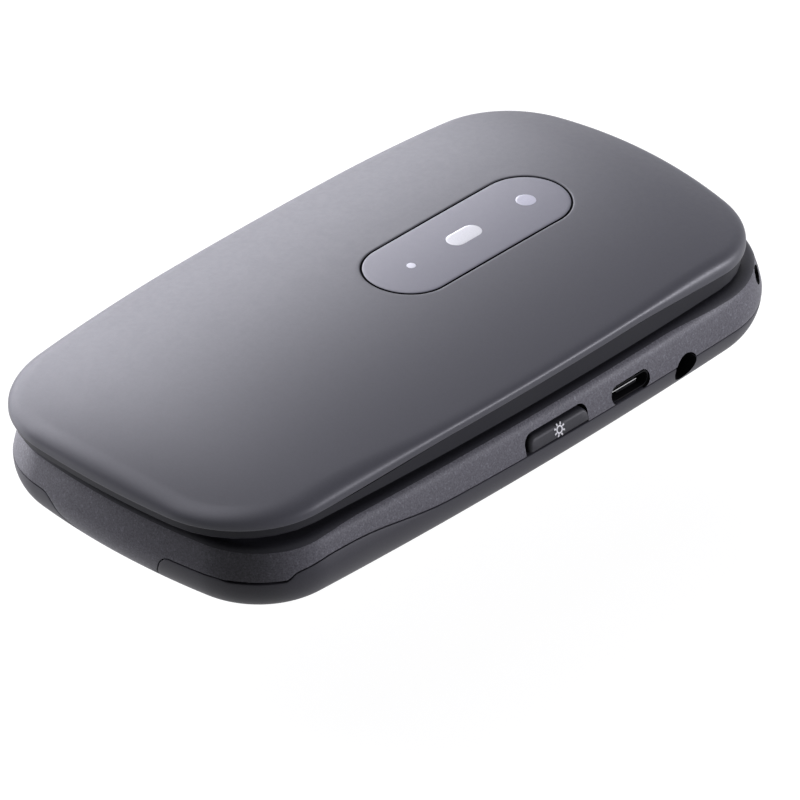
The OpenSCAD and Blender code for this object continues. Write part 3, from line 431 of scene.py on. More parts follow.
def tint(tree, factor, a, b):
    """A mix of two tones, each a plain colour or another node's output."""
    node = add(tree, "ShaderNodeMix", data_type="RGBA")
    for end, tone in zip(colours_of(node.inputs), (a, b)):
        if isinstance(tone, tuple):
            end.default_value = (*tone, 1)
        else:
            tree.links.new(tone, end)
    tree.links.new(factor, node.inputs["Factor"])
    return colours_of(node.outputs)[0]


def finish_of(name, colour, rough, grain, depth, contrast, rough_range, broad, specular=0.5, metal=0.0,
              coat=0.0, bump=0.5, speckle=0.0):
    """A moulded or metal surface: fine grain in colour and relief, broad drift in gloss."""
    made, tree, shader = nodes_of(name)
    place = add(tree, "ShaderNodeTexCoord").outputs["Object"]
    fine = noise(tree, place, grain, 4.0, 0.6)
    wide = noise(tree, place, broad, 2.0, 0.5)
    dark = tuple(c * (1 - contrast) for c in colour)
    light = tuple(min(1.0, c * (1 + contrast)) for c in colour)
    tone = tint(tree, spread(tree, fine, 0, 1, 0.32, 0.68), dark, light)
    if speckle:
        dots = noise(tree, place, grain * 0.55, 2.0, 0.7)
        bright = tuple(min(1.0, c * 2.6 + 0.02) for c in colour)
        tone = tint(tree, spread(tree, dots, 0, speckle, 0.56, 0.74), tone, bright)
    tree.links.new(tone, shader.inputs["Base Color"])
    tree.links.new(spread(tree, wide, rough - rough_range, rough + rough_range), shader.inputs["Roughness"])
    relief = add(tree, "ShaderNodeBump", Strength=bump, Distance=depth)
    tree.links.new(fine, relief.inputs["Height"])
    tree.links.new(relief.outputs["Normal"], shader.inputs["Normal"])
    put(shader, Metallic=metal, Specular_IOR_Level=specular, Coat_Weight=coat, Coat_Roughness=0.12)
    return made


def key_finish(name, colour):
    return finish_of(name, colour, 0.42, 4000, 4e-6, 0.08, 0.05, 120)


def lens_finish(name, colour):
    return finish_of(name, colour, 0.16, 5200, 2e-6, 0.05, 0.04, 160, coat=0.3)


LOOKS = {
    "lid_grey": finish_of("lid_satin", (0.028, 0.028, 0.042), 0.46, 3200, 10e-6, 0.07, 0.02, 1100),
    "panel_grey": finish_of("panel_satin", (0.085, 0.085, 0.118), 0.44, 5200, 4e-6, 0.04, 0.02, 1100, 0.7),
    # near-black: partly the frame's own dark moulding, partly painted shade for the frame under the lid's
    # edge
    "inner_grey": finish_of("inner_matt", (0.011, 0.011, 0.016), 0.5, 3000, 8e-6, 0.1, 0.04, 70, 0.12),
    # the deck's darker finish is painted shade for the gap under the lid: on the deck, its rolled rim, the
    # far shelf and the trough
    "deck_grey": finish_of("deck_painted_shade", (0.034, 0.034, 0.041), 0.5, 3000, 8e-6, 0.1, 0.04, 70, 0.15),
    "housing_grey": finish_of("housing_grain", (0.13, 0.128, 0.145), 0.46, 4300, 16e-6, 0.34, 0.05, 60, 0.17,
        bump=0.8, speckle=0.4),
    "cover_grey": finish_of("cover_matt", (0.045, 0.044, 0.054), 0.5, 4200, 6e-6, 0.08, 0.04, 60, 0.25),
    "key_grey": key_finish("key_matt", (0.075, 0.075, 0.082)),
    "call_green": key_finish("call_key", (0.02, 0.13, 0.045)),
    "end_red": key_finish("end_key", (0.2, 0.018, 0.018)),
    "side_key_grey": finish_of("side_key_matt", (0.026, 0.026, 0.032), 0.46, 3600, 6e-6, 0.1, 0.04, 90, 0.2),
    "display": finish_of("display_stack", (0.03, 0.034, 0.045), 0.25, 2600, 2e-6, 0.1, 0.05, 60),
    "black_plastic": finish_of("black_moulding", (0.016, 0.016, 0.017), 0.42, 3600, 6e-6, 0.2, 0.06, 90),
    "board_green": finish_of("board_mask", (0.012, 0.085, 0.045), 0.3, 1800, 12e-6, 0.25, 0.06, 150),
    "steel": finish_of("stamped_steel", (0.52, 0.52, 0.53), 0.3, 4200, 3e-6, 0.08, 0.08, 260, metal=1.0),
    "bumper": finish_of("bumper_rubber", (0.03, 0.03, 0.032), 0.7, 3600, 10e-6, 0.2, 0.06, 120),
    "cable": finish_of("cable_film", (0.32, 0.15, 0.035), 0.32, 2400, 6e-6, 0.2, 0.06, 300),
    "mat": finish_of("key_rubber", (0.4, 0.4, 0.42), 0.6, 3600, 6e-6, 0.08, 0.06, 120),
    "domes": finish_of("dome_film", (0.62, 0.58, 0.46), 0.3, 1500, 6e-6, 0.12, 0.06, 160),
    "led": finish_of("led_resin", (0.75, 0.66, 0.25), 0.2, 2600, 3e-6, 0.1, 0.05, 200),
    "battery": finish_of("battery_wrap", (0.06, 0.07, 0.085), 0.4, 2600, 6e-6, 0.12, 0.06, 90),
    "clear_lens": lens_finish("pale_lens", (0.78, 0.78, 0.86)),
}


def display_finish():
    """Black glass with a printed border round a picture area that shows a little through it."""
    made, tree, shader = nodes_of("display_glass")
    place = add(tree, "ShaderNodeTexCoord").outputs["Object"]
    parts = add(tree, "ShaderNodeSeparateXYZ")
    tree.links.new(place, parts.inputs[0])
    inside = []
    for axis, middle, half in (("X", 0.0, PICTURE_W / 2), ("Y", PICTURE_Y, PICTURE_L / 2)):
        away = add(tree, "ShaderNodeMath", operation="SUBTRACT")
        away.inputs[1].default_value = middle * MM
        tree.links.new(parts.outputs[axis], away.inputs[0])
        size = add(tree, "ShaderNodeMath", operation="ABSOLUTE")
        tree.links.new(away.outputs[0], size.inputs[0])
        inside.append(spread(tree, size.outputs[0], 1, 0, (half - 0.1) * MM, half * MM))
    tone = tint(tree, reckon(tree, "MULTIPLY", *inside), (0.003, 0.003, 0.004), (0.016, 0.018, 0.024))
    tree.links.new(tone, shader.inputs["Base Color"])
    haze = noise(tree, place, 45.0, 2.0, 0.5)
    tree.links.new(spread(tree, haze, 0.05, 0.1), shader.inputs["Roughness"])
    put(shader, Coat_Weight=0.3, Coat_Roughness=0.04)
    return made


LOOKS["window_black"] = display_finish()
CAMERA_GLASS = lens_finish("camera_glass", (0.6, 0.6, 0.7))
FLASH_GLASS = lens_finish("flash_glass", (0.84, 0.85, 0.87))
# near-black painted shade, carried onto the walls that the tools below cut: key notches, jack, usb opening
# and strap tunnel
PAINTED_RECESS_SHADE = finish_of("painted_recess_shade", (0.005, 0.005, 0.006), 0.7, 3600, 6e-6, 0.2, 0.06, 90, 0.08)
SCREW_PLATE = finish_of("plated_screw", (0.12, 0.12, 0.125), 0.36, 4200, 3e-6, 0.1, 0.08, 260, metal=1.0)
GRILLE_STEEL = finish_of("grille_steel", (0.2, 0.2, 0.21), 0.34, 4200, 3e-6, 0.1, 0.08, 260, metal=1.0)
WHITE_INK = finish_of("white_ink", (0.9, 0.9, 0.91), 0.5, 5200, 3e-6, 0.05, 0.05, 200)


def dress(piece, look, body, *nodes, slot=None):
    """Gives a piece its finish, the body it rides on and the nodes that it stands for."""
    finish = LOOKS[look] if isinstance(look, str) else look
    if piece.data.materials:
        piece.data.materials[0] = finish
    else:
        paint(piece, finish)
    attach(piece, body)
    if nodes:
        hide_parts(*nodes)


# base outline, and the way down its side as a length along the skin
BASE = outline(BASE_W, BASE_NEAR, BASE_FAR, (13.4, 4.05), (15.7, 4.9), 1.9, (26, 44, 64), (26, 26, 16))
LID = outline(LID_W, LID_NEAR, LID_FAR, (15.1, 3.1), (13.0, 5.0), 2.15, (30, 30, 18), (30, 30, 18))


def skin_profile():
    """The side of the base as inset and height: tucked in below, leaning above, rolled into the deck."""
    points = []
    for k in range(41):
        t = math.pi / 2 * k / 40
        points.append((TUCK * (1 - math.sin(t)), WAIST * (1 - math.cos(t))))
    straight = (ROLL_LOW - WAIST) / (RIM - WAIST)
    for k in range(1, 25):
        u = straight * k / 24
        points.append((LEAN * u ** 1.25, mix(WAIST, RIM, u)))
    low = points[-1]
    roll = (low, (low[0] + 0.25, low[1] + 0.85), (ROLL_IN - 1.45, DECK), (ROLL_IN, DECK))
    for k in range(1, 17):
        w = bezier(k / 16)
        points.append(tuple(sum(f * p[i] for f, p in zip(w, roll)) for i in (0, 1)))
    lengths = [0.0]
    for a, b in zip(points, points[1:]):
        lengths.append(lengths[-1] + math.dist(a, b))
    return points, lengths


SKIN, SKIN_AT = skin_profile()
SKIN_LONG = SKIN_AT[-1]


def skin(a):
    """Inset, height and inward direction at a length along the skin, zero where the flat underside ends."""
    if a <= 0:
        return TUCK - a, 0.0, 0.0, 1.0
    if a >= SKIN_LONG:
        return SKIN[-1][0] + a - SKIN_LONG, DECK, 0.0, -1.0
    hi = bisect.bisect_right(SKIN_AT, a)
    lo = hi - 1
    f = (a - SKIN_AT[lo]) / (SKIN_AT[hi] - SKIN_AT[lo])
    p, q = SKIN[lo], SKIN[hi]
    long = math.dist(p, q)
    return mix(p[0], q[0], f), mix(p[1], q[1], f), (q[1] - p[1]) / long, (p[0] - q[0]) / long


def skin_length(z):
    """The length along the skin at which it reaches a height."""
    lo, hi = 0.0, SKIN_LONG
    for _ in range(40):
        mid = (lo + hi) / 2
        if skin(mid)[1] < z:
            lo = mid
        else:
            hi = mid
    return lo


def on_skin(j, a, deep=0.0):
    """The point at a length along the skin, below outline point j, and a depth under it."""
    x, y, nx, ny = BASE[j]
    t, z, it, iz = skin(a)
    t += deep * it
    return (x - t * nx, y - t * ny, z + deep * iz)


# the parting line between housing and battery cover
TONGUE = ((-13.2, 7.98), (-12.5, 7.8), (-11.5, 6.9), (-10.4, 5.25), (-8.4, 4.2), (-6.4, 2.9), (-5.4, 1.2),
          (-5.0, -0.8), (-4.5, -1.6), (-4.0, -1.85), (5.6, -1.85), (6.1, -1.6), (6.5, -0.8), (6.8, 1.2),
          (7.2, 3.7), (8.6, 6.9), (9.2, 7.6), (9.9, 7.85))


def from_slot(x, y):
    """Distance along the rim from the middle of the finger slot."""
    if x <= 12 or y >= -38:
        return NO_SLOT
    return abs((x - SLOT_X) + (y - SLOT_Y)) / math.sqrt(2)


def parting():
    line = []
    for x, y, nx, ny in BASE:
        z = cover_edge(y)
        z = mix(z, min(z, SLOT_Z), 1 - ramp(4.3, 4.9, from_slot(x, y)))
        a = skin_length(z)
        if y < -46 and TONGUE[0][0] < x < TONGUE[-1][0]:
            a = min(a, table(TONGUE, x))
        line.append(a)
    n = len(line)
    for _ in range(2):
        line = [(line[j - 1] + 2 * line[j] + line[(j + 1) % n]) / 4 for j in range(n)]
    return line


PARTING = parting()


def stretch():
    """How much further along the skin a gap reaches where the line runs steeply."""
    n = len(PARTING)
    out = []
    for j in range(n):
        k = (j + 1) % n
        flat = math.dist(BASE[j - 1][:2], BASE[k][:2])
        slope = abs(PARTING[k] - PARTING[j - 1]) / max(0.05, flat)
        out.append(min(3.0, math.hypot(1, slope)))
    return out


STEEP = stretch()


# how much wider the gap is along the finger slot, and the eased lips on both sides of the line
PRY = [SLOT_WIDE * (1 - ramp(3.4, 5.0, from_slot(x, y))) for x, y, nx, ny in BASE]
LIP_GAP, LIP_END, LIP_DEEP = 0.05, 0.3, 1.2
ROUND_LIP = ((LIP_GAP, 0.24), (0.07, 0.1), (0.12, 0.025), (LIP_END, 0.0))
KEY_PLACES = [(c * KEY_DX, KEY_Y + r * KEY_DY) for r in (3, 2, 1, 0) for c in (-1, 0, 1)]
CORNER_PLACES = [(s * SIDE_KEY_X, NAV_Y + t * SIDE_KEY_DY) for s in (-1, 1) for t in (1, -1)]


def grown(x, y, w, h, grow):
    """A key's outline, larger all round by grow."""
    return rounded(x, y, w + 2 * grow, h + 2 * grow, KEY_R + grow)


def deck_holes(grow):
    """The outlines of the deck's openings, each larger all round by grow."""
    holes = [grown(x, y, KEY_W, KEY_H, grow) for x, y in KEY_PLACES]
    holes += [grown(x, y, SIDE_KEY_W, SIDE_KEY_H, grow) for x, y in CORNER_PLACES]
    holes.append(circle(0, NAV_Y, NAV_R + grow, 96))
    holes.append(circle(0, MIC_Y, 0.6 + grow - KEY_GAP, 24))
    return holes


def housing_shell():
    shell = Shell()
    count = range(len(BASE))
    rings = []
    for gap, deep in ((LIP_GAP, LIP_DEEP),) + ROUND_LIP:
        rings.append([on_skin(j, PARTING[j] + gap * STEEP[j] + PRY[j], deep) for j in count])
    shade_from = [skin_length(deck_shade_from(BASE[j][1])) for j in count]
    start = [PARTING[j] + LIP_END * STEEP[j] + PRY[j] for j in count]
    for k in range(1, 21):
        rings.append([on_skin(j, mix(start[j], shade_from[j], k / 20)) for j in count])
    shade_start = len(rings) - 1
    for k in range(1, 11):
        rings.append([on_skin(j, mix(shade_from[j], SKIN_LONG, k / 10)) for j in count])
    rings.append([on_skin(j, SKIN_LONG + 0.3) for j in count])
    made = shell.loft(rings)
    rims = []
    feet = []
    eases = ((0.3, 0.0), (0.14, 0.0), (0.05, 0.03), (0.01, 0.08), (0.0, 0.16), (0.0, DECK - DECK_LOW))
    for steps in zip(*(deck_holes(KEY_GAP + grow) for grow, drop in eases)):
        wall = shell.loft([lift(loop, DECK - drop) for loop, (grow, drop) in zip(steps, eases)])
        rims.append(wall[0])
        feet.append(wall[-1])
    shell.fill([made[-1]] + rims)
    inner = []
    under = skin_length(DECK_LOW)
    for k in range(6):
        f = k / 6
        ring = []
        for j in count:
            a = mix(under, PARTING[j] + LIP_GAP * STEEP[j], f)
            wall = mix(HOUSE_WALL, LIP_DEEP, ramp(0.6, 1.0, f))
            x, y, z = on_skin(j, a, wall)
            ring.append((x, y, DECK_LOW if k == 0 else min(DECK_LOW - 0.02, z)))
        inner.append(ring)
    down = shell.loft(inner)
    shell.fill([down[0]] + feet, down=True)
    shell.bridge(down[-1], made[0])
    piece = paint(shell.build("keypad_housing_skin"), LOOKS["housing_grey"], LOOKS["deck_grey"])
    # faces from the shade line inwards take the darker deck finish: painted shade
    for face in piece.data.polygons:
        if min(face.vertices) >= made[shade_start][0]:
            face.material_index = 1
    return piece


def far_shelf():
    """The solid far end under the deck, which the trough is cut into."""
    points = inset([p for p in BASE if p[1] > SHELF_Y], SHELF_IN)
    points.sort(key=lambda p: math.atan2(p[1] - SHELF_Y, p[0]))
    shelf = prism("far_shelf", points, lambda u, v, h: (u, v, h), SHELF_LOW, DECK_LOW + 0.5)
    # the far shelf takes the deck's darker finish, the same painted shade
    return paint(shelf, LOOKS["deck_grey"])


def about_axis(x, r):
    """A ring of points round the hinge axis."""
    return [(x, AXIS_Y + u, AXIS_Z + v) for u, v in circle(0, 0, r, ROUND_STEPS)]


def turned_form(name, steps):
    """A closed form round the hinge axis from places along it and their radii."""
    shell = Shell()
    made = shell.loft([about_axis(x, r) for x, r in steps])
    shell.caps(made[0], made[-1])
    return upright(shell.build(name))


def swept_trough():
    """The room that the lid's far end turns through, less the wedge under the hinge neck."""
    half = sorted((x, y) for x, y, nx, ny in LID if y > AXIS_Y + 1)
    trough = turned_form("trough_tool", [(x, y - AXIS_Y + SWEEP_GAP) for x, y in half])
    reach, back, up = 9, 12, 4
    low = AXIS_Z - reach * math.sin(NECK_TURN)
    wedge = [(AXIS_Y, AXIS_Z), (AXIS_Y - reach * math.cos(NECK_TURN), low), (AXIS_Y - back, low),
             (AXIS_Y - back, AXIS_Z + up), (AXIS_Y, AXIS_Z + up)]
    cut(trough, prism("wedge_tool", wedge, sideways, -BARREL_HALF, BARREL_HALF))
    # the trough takes the deck's darker finish, the same painted shade
    return paint(trough, LOOKS["deck_grey"])


def hinge_barrel():
    """The barrel and the neck that carries it, with eased ends."""
    ends = ((0.0, 0.45), (0.06, 0.2), (0.2, 0.06), (0.45, 0.0))
    steps = [(-BARREL_HALF + e, BARREL_R - less) for e, less in ends]
    steps += [(BARREL_HALF - e, BARREL_R - less) for e, less in reversed(ends)]
    barrel = turned_form("barrel", steps)
    neck = [(AXIS_Y - 0.5, AXIS_Z - 0.5 * math.tan(NECK_TURN)), (AXIS_Y - 0.5, AXIS_Z + 1),
            (AXIS_Y - 2.6, AXIS_Z + 1), (AXIS_Y - NECK_L, DECK), (AXIS_Y - NECK_L, DECK - 1),
            (AXIS_Y - 3.9 / math.tan(NECK_TURN), DECK - 1)]
    web = prism("neck", neck, sideways, -BARREL_HALF, BARREL_HALF)
    step = web.modifiers.new("ease", "BEVEL")
    put(step, width=0.2 * MM, segments=3, limit_method="ANGLE")
    settle(web)
    join(barrel, web)
    return barrel


def side_tool(sign, y, long):
    """The notch that a side key sits in; its walls take the near-black painted shade."""
    low = cover_edge(y) - 1
    points = rounded(y, low, long + 2 * SIDE_GAP, 2 * (SIDE_TOP + SIDE_GAP - low), 1.5)
    tool = prism("side_tool", points, lambda u, v, h: (sign * h, u, v), RIGHT - 7, OUTSIDE)
    return paint(tool, PAINTED_RECESS_SHADE)


def jack_tool():
    hole = circle(JACK_Y, JACK_Z, JACK_HOLE_R, 56)
    # the jack hole's walls take the near-black painted shade
    return paint(prism("jack_tool", hole, sideways, RIGHT - 6, OUTSIDE), PAINTED_RECESS_SHADE)


def strap_tool():
    """A ring that cuts the strap's tunnel into the corner; the tunnel's walls take the near-black painted
    shade.
    """
    shell = Shell()
    rows = []
    section = circle(0, 0, STRAP_R, 24)
    for c, s in circle(0, 0, 1, 48):
        row = []
        for out, rise in section:
            r = STRAP_BEND + out
            row.append((STRAP_X + r * c, STRAP_Y + r * s, STRAP_Z + rise))
        rows.append(row)
    shell.loft(rows + [rows[0]])
    piece = shell.build("strap_tool")
    reform(piece.data, lambda form: bmesh.ops.remove_doubles(form, verts=form.verts, dist=1e-8))
    return upright(paint(piece, PAINTED_RECESS_SHADE))


housing = housing_shell()
cut(housing, far_shelf(), how="UNION", folded=True)
cut(housing, swept_trough())
cut(housing, side_tool(1, TORCH_KEY_Y, TORCH_KEY_L))
cut(housing, side_tool(-1, VOLUME_Y, VOLUME_L))
usb_hole = rounded(USB_Y, USB_Z, USB_L, USB_H, USB_R)
usb_tool = prism("usb_tool", usb_hole, sideways, RIGHT - 8, OUTSIDE)
# the usb opening's walls take the near-black painted shade
cut(housing, paint(usb_tool, PAINTED_RECESS_SHADE))
cut(housing, jack_tool())
torch_hole = circle(0, TORCH_Z, TORCH_R + 0.02)
cut(housing, prism("torch_tool", torch_hole, lambda u, v, h: (u, h, v), TORCH_LED_Y, BASE_FAR + 6))
cut(housing, strap_tool())
join(housing, hinge_barrel())
soften(housing, 34)
dress(housing, "housing_grey", "base", "keypad_housing")


def cover_shell():
    shell = Shell()
    count = range(len(BASE))
    lips = [PARTING[j] - LIP_GAP * STEEP[j] for j in count]
    start = [min(0.0, lips[j] - LIP_END * STEEP[j]) - 0.4 for j in count]
    rings = []
    for k in range(27):
        rings.append([on_skin(j, mix(start[j], PARTING[j] - LIP_END * STEEP[j], k / 26)) for j in count])
    for gap, deep in reversed(ROUND_LIP[:-1]):
        rings.append([on_skin(j, PARTING[j] - gap * STEEP[j], deep) for j in count])
    made = shell.loft(rings)
    rim = []
    foot = []
    for j in count:
        t, z, it, iz = skin(lips[j])
        x, y, nx, ny = BASE[j]
        wall = max(COVER_WALL, t + 0.9)
        rim.append((x - wall * nx, y - wall * ny, max(z, COVER_T + 0.2)))
        foot.append((x - wall * nx, y - wall * ny, COVER_T))
    inside = shell.loft([rim, foot])
    shell.bridge(made[-1], inside[0])
    tops = []
    bottoms = []
    eases = ((0, COVER_T), (0, 0.14), (0.04, 0.04), (0.14, 0.0), (0.3, 0.0))
    for k in range(-2, 3):
        x, long = SPEAKER_X + SLIT_PITCH * k, SLIT_L - abs(k)
        slit = [lift(rounded(x, SPEAKER_Y, SLIT_W + 2 * g, long + 2 * g, 0.499 + g, 6), z) for g, z in eases]
        wall = shell.loft(slit)
        tops.append(wall[0])
        bottoms.append(wall[-1])
    shell.fill([made[0]] + bottoms, down=True)
    shell.fill([inside[1]] + tops)
    return shell.build("battery_cover_skin")


cover = paint(cover_shell(), LOOKS["cover_grey"])
cut(cover, jack_tool())
soften(cover, 34)
dress(cover, "cover_grey", "battery_cover", "battery_cover")


# lid outer cover
def pill(grow, around):
    """For each point, the matching point on the lens panel's outline."""
    points = []
    for x, y in around:
        core = min(PANEL_HIGH, max(PANEL_LOW, y))
        long = math.hypot(x, y - core)
        points.append((x / long * (PANEL_R + grow), core + (y - core) / long * (PANEL_R + grow)))
    return points


def lid_shell():
    shell = Shell()
    edge = inset(LID, 0)
    crease = [(x - crease_in(y) * nx, y - crease_in(y) * ny) for x, y, nx, ny in LID]
    rings = []
    for t, up in ((1.2, 0.14), (0.2, 0.14), (0.06, 0.18), (0.0, 0.28), (0.0, 0.44)):
        rings.append([(p[0], p[1], lid_edge(e[1]) + up) for p, e in zip(inset(LID, t), edge)])
    rings.append([(x, y, lid_edge(y) + lid_band(y)) for x, y in edge])
    for k in range(1, 17):
        w = bezier(k / 16)
        ring = []
        for (x, y, nx, ny), (cx, cy) in zip(LID, crease):
            low = lid_edge(y) + lid_band(y)
            high = dome(cx, cy)
            fall = (high - dome(cx + LID_STEP * nx, cy + LID_STEP * ny)) / LID_STEP
            bend, flat = low + LID_BEND * (high - low), high - LID_FLAT * min(0.5, fall)
            wide = crease_in(y)
            t = w[2] * (wide - LID_FLAT) + w[3] * wide
            z = w[0] * low + w[1] * bend + w[2] * flat + w[3] * high
            ring.append((x - t * nx, y - t * ny, z))
        rings.append(ring)
    lip = pill(PANEL_GROOVE + 0.22, crease)
    for k in range(1, 33):
        f = k / 32
        f = f * f * (3 - 2 * f) * 0.5 + f * 0.5
        ring = []
        for a, b in zip(crease, lip):
            x, y = mix(a[0], b[0], f), mix(a[1], b[1], f)
            ring.append((x, y, dome(x, y)))
        rings.append(ring)
    for grow, drop in ((0.14, 0.012), (0.07, 0.045), (0.02, 0.11), (0.0, 0.19), (0.0, 0.7), (-0.6, 0.7)):
        rings.append([(x, y, dome(x, y) - drop) for x, y in pill(PANEL_GROOVE + grow, crease)])
    made = shell.loft(rings)
    shell.fill([made[-1]])
    inner = []
    for f in (0.4, 0.7, 0.9):
        inner.append([(x * f, mix(LID_MID, y, f), dome(x * f, mix(LID_MID, y, f)) - 1.5) for x, y in crease])
    inner.append([(p[0], p[1], max(lid_edge(p[1]) + 0.6, dome(*p) - 1.6)) for p in inset(LID, 3.2)])
    inner.append([(p[0], p[1], lid_edge(p[1]) + 0.3) for p in inset(LID, 1.5)])
    under = shell.loft(inner)
    shell.fan(under[0], (0, LID_MID, TOP - 1.5), down=True)
    shell.bridge(under[-1], made[0])
    return shell.build("lid_cover_skin", 40)


def paint_groove_shade(piece, drop):
    """Gives the faces deeper than the drop below the dome, round the lens panel, the near-black painted shade
    of the groove.
    """
    paint(piece, PAINTED_RECESS_SHADE)
    for face in piece.data.polygons:
        x, y, z = face.center / MM
        core = min(PANEL_HIGH, max(PANEL_LOW, y))
        near_panel = math.hypot(x, y - core) < PANEL_R + PANEL_GROOVE + 0.05
        if near_panel and z > TOP - 4 and z < dome(x, y) - drop:
            face.material_index = 1


lid = paint(lid_shell(), LOOKS["lid_grey"])
# the groove's walls round the lens panel take painted shade
paint_groove_shade(lid, 0.15)
dress(lid, "lid_grey", "lid", "lid_outer_cover")


# lens panel and its windows
def half_turn(core, start, n):
    """Half a circle: its middle's place along Y with each point's direction."""
    turns = [start + math.pi * k / n for k in range(n + 1)]
    return [(core, math.cos(t), math.sin(t)) for t in turns]


def panel_shell():
    shell = Shell()
    loop = []
    for side, core, other, start in ((1, PANEL_HIGH, PANEL_LOW, 0.0), (-1, PANEL_LOW, PANEL_HIGH, math.pi)):
        loop += half_turn(core, start, 40)
        for k in range(1, 20):
            loop.append((mix(core, other, k / 20), -side, 0.0))

    def ring(r, drop):
        return [(c * r, core + s * r, dome(c * r, core + s * r) - PANEL_SINK - drop) for core, c, s in loop]

    shoulder = 0.18
    rings = [ring(PANEL_R - 0.5, 0.85), ring(PANEL_R, 0.85), ring(PANEL_R, 0.12), ring(PANEL_R - 0.03, 0.05),
             ring(PANEL_R - 0.09, 0.012), ring(PANEL_R - shoulder, 0.0)]
    for k in range(1, 17):
        rings.append(ring(mix(PANEL_R - shoulder, 0.02, k / 16), 0.0))
    made = shell.loft(rings)
    shell.fill([made[-1]])
    shell.fill([made[0]], down=True)
    return shell.build("lens_panel_skin", 40)


panel = paint(panel_shell(), LOOKS["panel_grey"])
# the panel's sunken sides take painted shade
paint_groove_shade(panel, 0.1)
dress(panel, "panel_grey", "lid", "lens_panel")


def window_lens(name, y, r, half):
    """A pale window set level with the panel, with a soft rim."""
    shell = Shell()
    loop = half_turn(y + half - r, 0.0, 32) + half_turn(y - half + r, math.pi, 32)

    def ring(radius, rise):
        return [(c * radius, core + s * radius, dome(c * radius, core + s * radius) + rise)
                for core, c, s in loop]

    soft, sunk = 0.07, -0.002
    rings = [ring(r, -0.5), ring(r, -0.04), ring(r - 0.02, -0.012), ring(r - soft, sunk)]
    for k in range(1, 9):
        rings.append(ring(mix(r - soft, 0.02, k / 8), sunk))
    made = shell.loft(rings)
    shell.fill([made[-1]])
    shell.fill([made[0]], down=True)
    return shell.build(name, 40)


dress(window_lens("camera_lens", CAMERA_Y, CAMERA_R, CAMERA_R + 0.001), CAMERA_GLASS, "lid", "camera_window",
      slot="clear_lens")
dress(window_lens("flash_lens", FLASH_Y, FLASH_R, FLASH_HALF), FLASH_GLASS, "lid", "flash_window",
      slot="clear_lens")
dress(window_lens("charge_lens", CHARGE_Y, CHARGE_R, CHARGE_R + 0.001), "clear_lens", "lid", "charge_light")
# the frame's near-black finish is partly painted shade
dress(smooth_copy("lid_inner_frame", "lid_frame_skin"), "inner_grey", "lid", "lid_inner_frame")


# earpiece grille: a thin plate with two rows of holes
def grille_skin():
    shell = Shell()
    plate = rounded(0, GRILLE_Y, GRILLE_L, GRILLE_W, GRILLE_W / 2 - 0.01)
    eased = rounded(0, GRILLE_Y, GRILLE_L - 0.1, GRILLE_W - 0.1, GRILLE_W / 2 - 0.06)
    sides = shell.loft([lift(eased, GRILLE_LOW), lift(plate, GRILLE_LOW + 0.06), lift(plate, GRILLE_HIGH)])
    lows = []
    highs = []
    for row in (-1, 1):
        for k in range(-6, 7):
            hole = circle(0.78 * k + 0.1 * row, GRILLE_Y + 0.36 * row, 0.24, 16)
            wall = shell.loft([lift(hole, GRILLE_HIGH), lift(hole, GRILLE_LOW)])
            highs.append(wall[0])
            lows.append(wall[1])
    shell.fill([sides[0]] + lows, down=True)
    shell.fill([sides[-1]] + highs)
    return upright(shell.build("earpiece_mesh"))


dress(grille_skin(), GRILLE_STEEL, "lid", "earpiece_grille", slot="steel")


# torch lens: a ridged dome in a plain rim
def torch_skin():
    shell = Shell()
    steps = [(1.43, 52.8), (1.43, 54.52), (1.38, 54.6), (1.24, 54.6), (1.18, 54.5)]
    for k in range(4):
        steps += [(1.14 - 0.24 * k, 54.56 + 0.03 * k), (0.95 - 0.24 * k, 54.62 + 0.03 * k)]
    rings = [[(x, y, TORCH_Z + z) for x, z in circle(0, 0, r, 40)] for r, y in steps]
    made = shell.loft(rings)
    shell.fan(made[-1], (0, 54.7, TORCH_Z))
    shell.fan(made[0], (0, 52.8, TORCH_Z), down=True)
    return upright(shell.build("torch_lens_skin", 20))


dress(torch_skin(), "clear_lens", "base", "torch_lens")


# usb connector: a thin shell with a bright upper lip; inside and out it takes the near-black painted shade
def usb_place(u, v, h):
    return h, USB_Y + u, USB_Z + v


def usb_skin():
    mouth, back = RIGHT - 0.65, RIGHT - 7.0
    shell = prism("usb_skin", rounded(0, 0, USB_L - 0.2, USB_H - 0.3, 1.1), usb_place, back, mouth)
    room = rounded(0, 0, USB_L - 0.6, USB_H - 0.7, 0.9)
    cut(shell, prism("usb_room", room, usb_place, back + 0.5, mouth + 1))
    tongue = prism("usb_tongue", rounded(0, -0.15, 3.8, 0.6, 0.12), usb_place, back + 0.3, mouth - 0.6)
    edge = prism("usb_edge", rounded(-0.6, 0.12, 5.0, 0.13, 0.05, 2), usb_place, mouth - 0.8, mouth - 0.52)
    join(shell, tongue)
    shell.data.materials.clear()
    paint(shell, LOOKS["steel"], PAINTED_RECESS_SHADE)
    # every face of the steel shell and tongue takes the painted shade; only the lip added below stays steel
    for face in shell.data.polygons:
        face.material_index = 1
    join(shell, paint(edge, LOOKS["steel"]))
    soften(shell, 34)
    return shell


dress(usb_skin(), "steel", "base", "usb_connector")


# keys
def shoulder(t, top):
    """How far in and how high a key's soft edge lies at a turn."""
    return KEY_SOFT * (1 - math.cos(t)), top - KEY_SOFT + KEY_SOFT * math.sin(t)


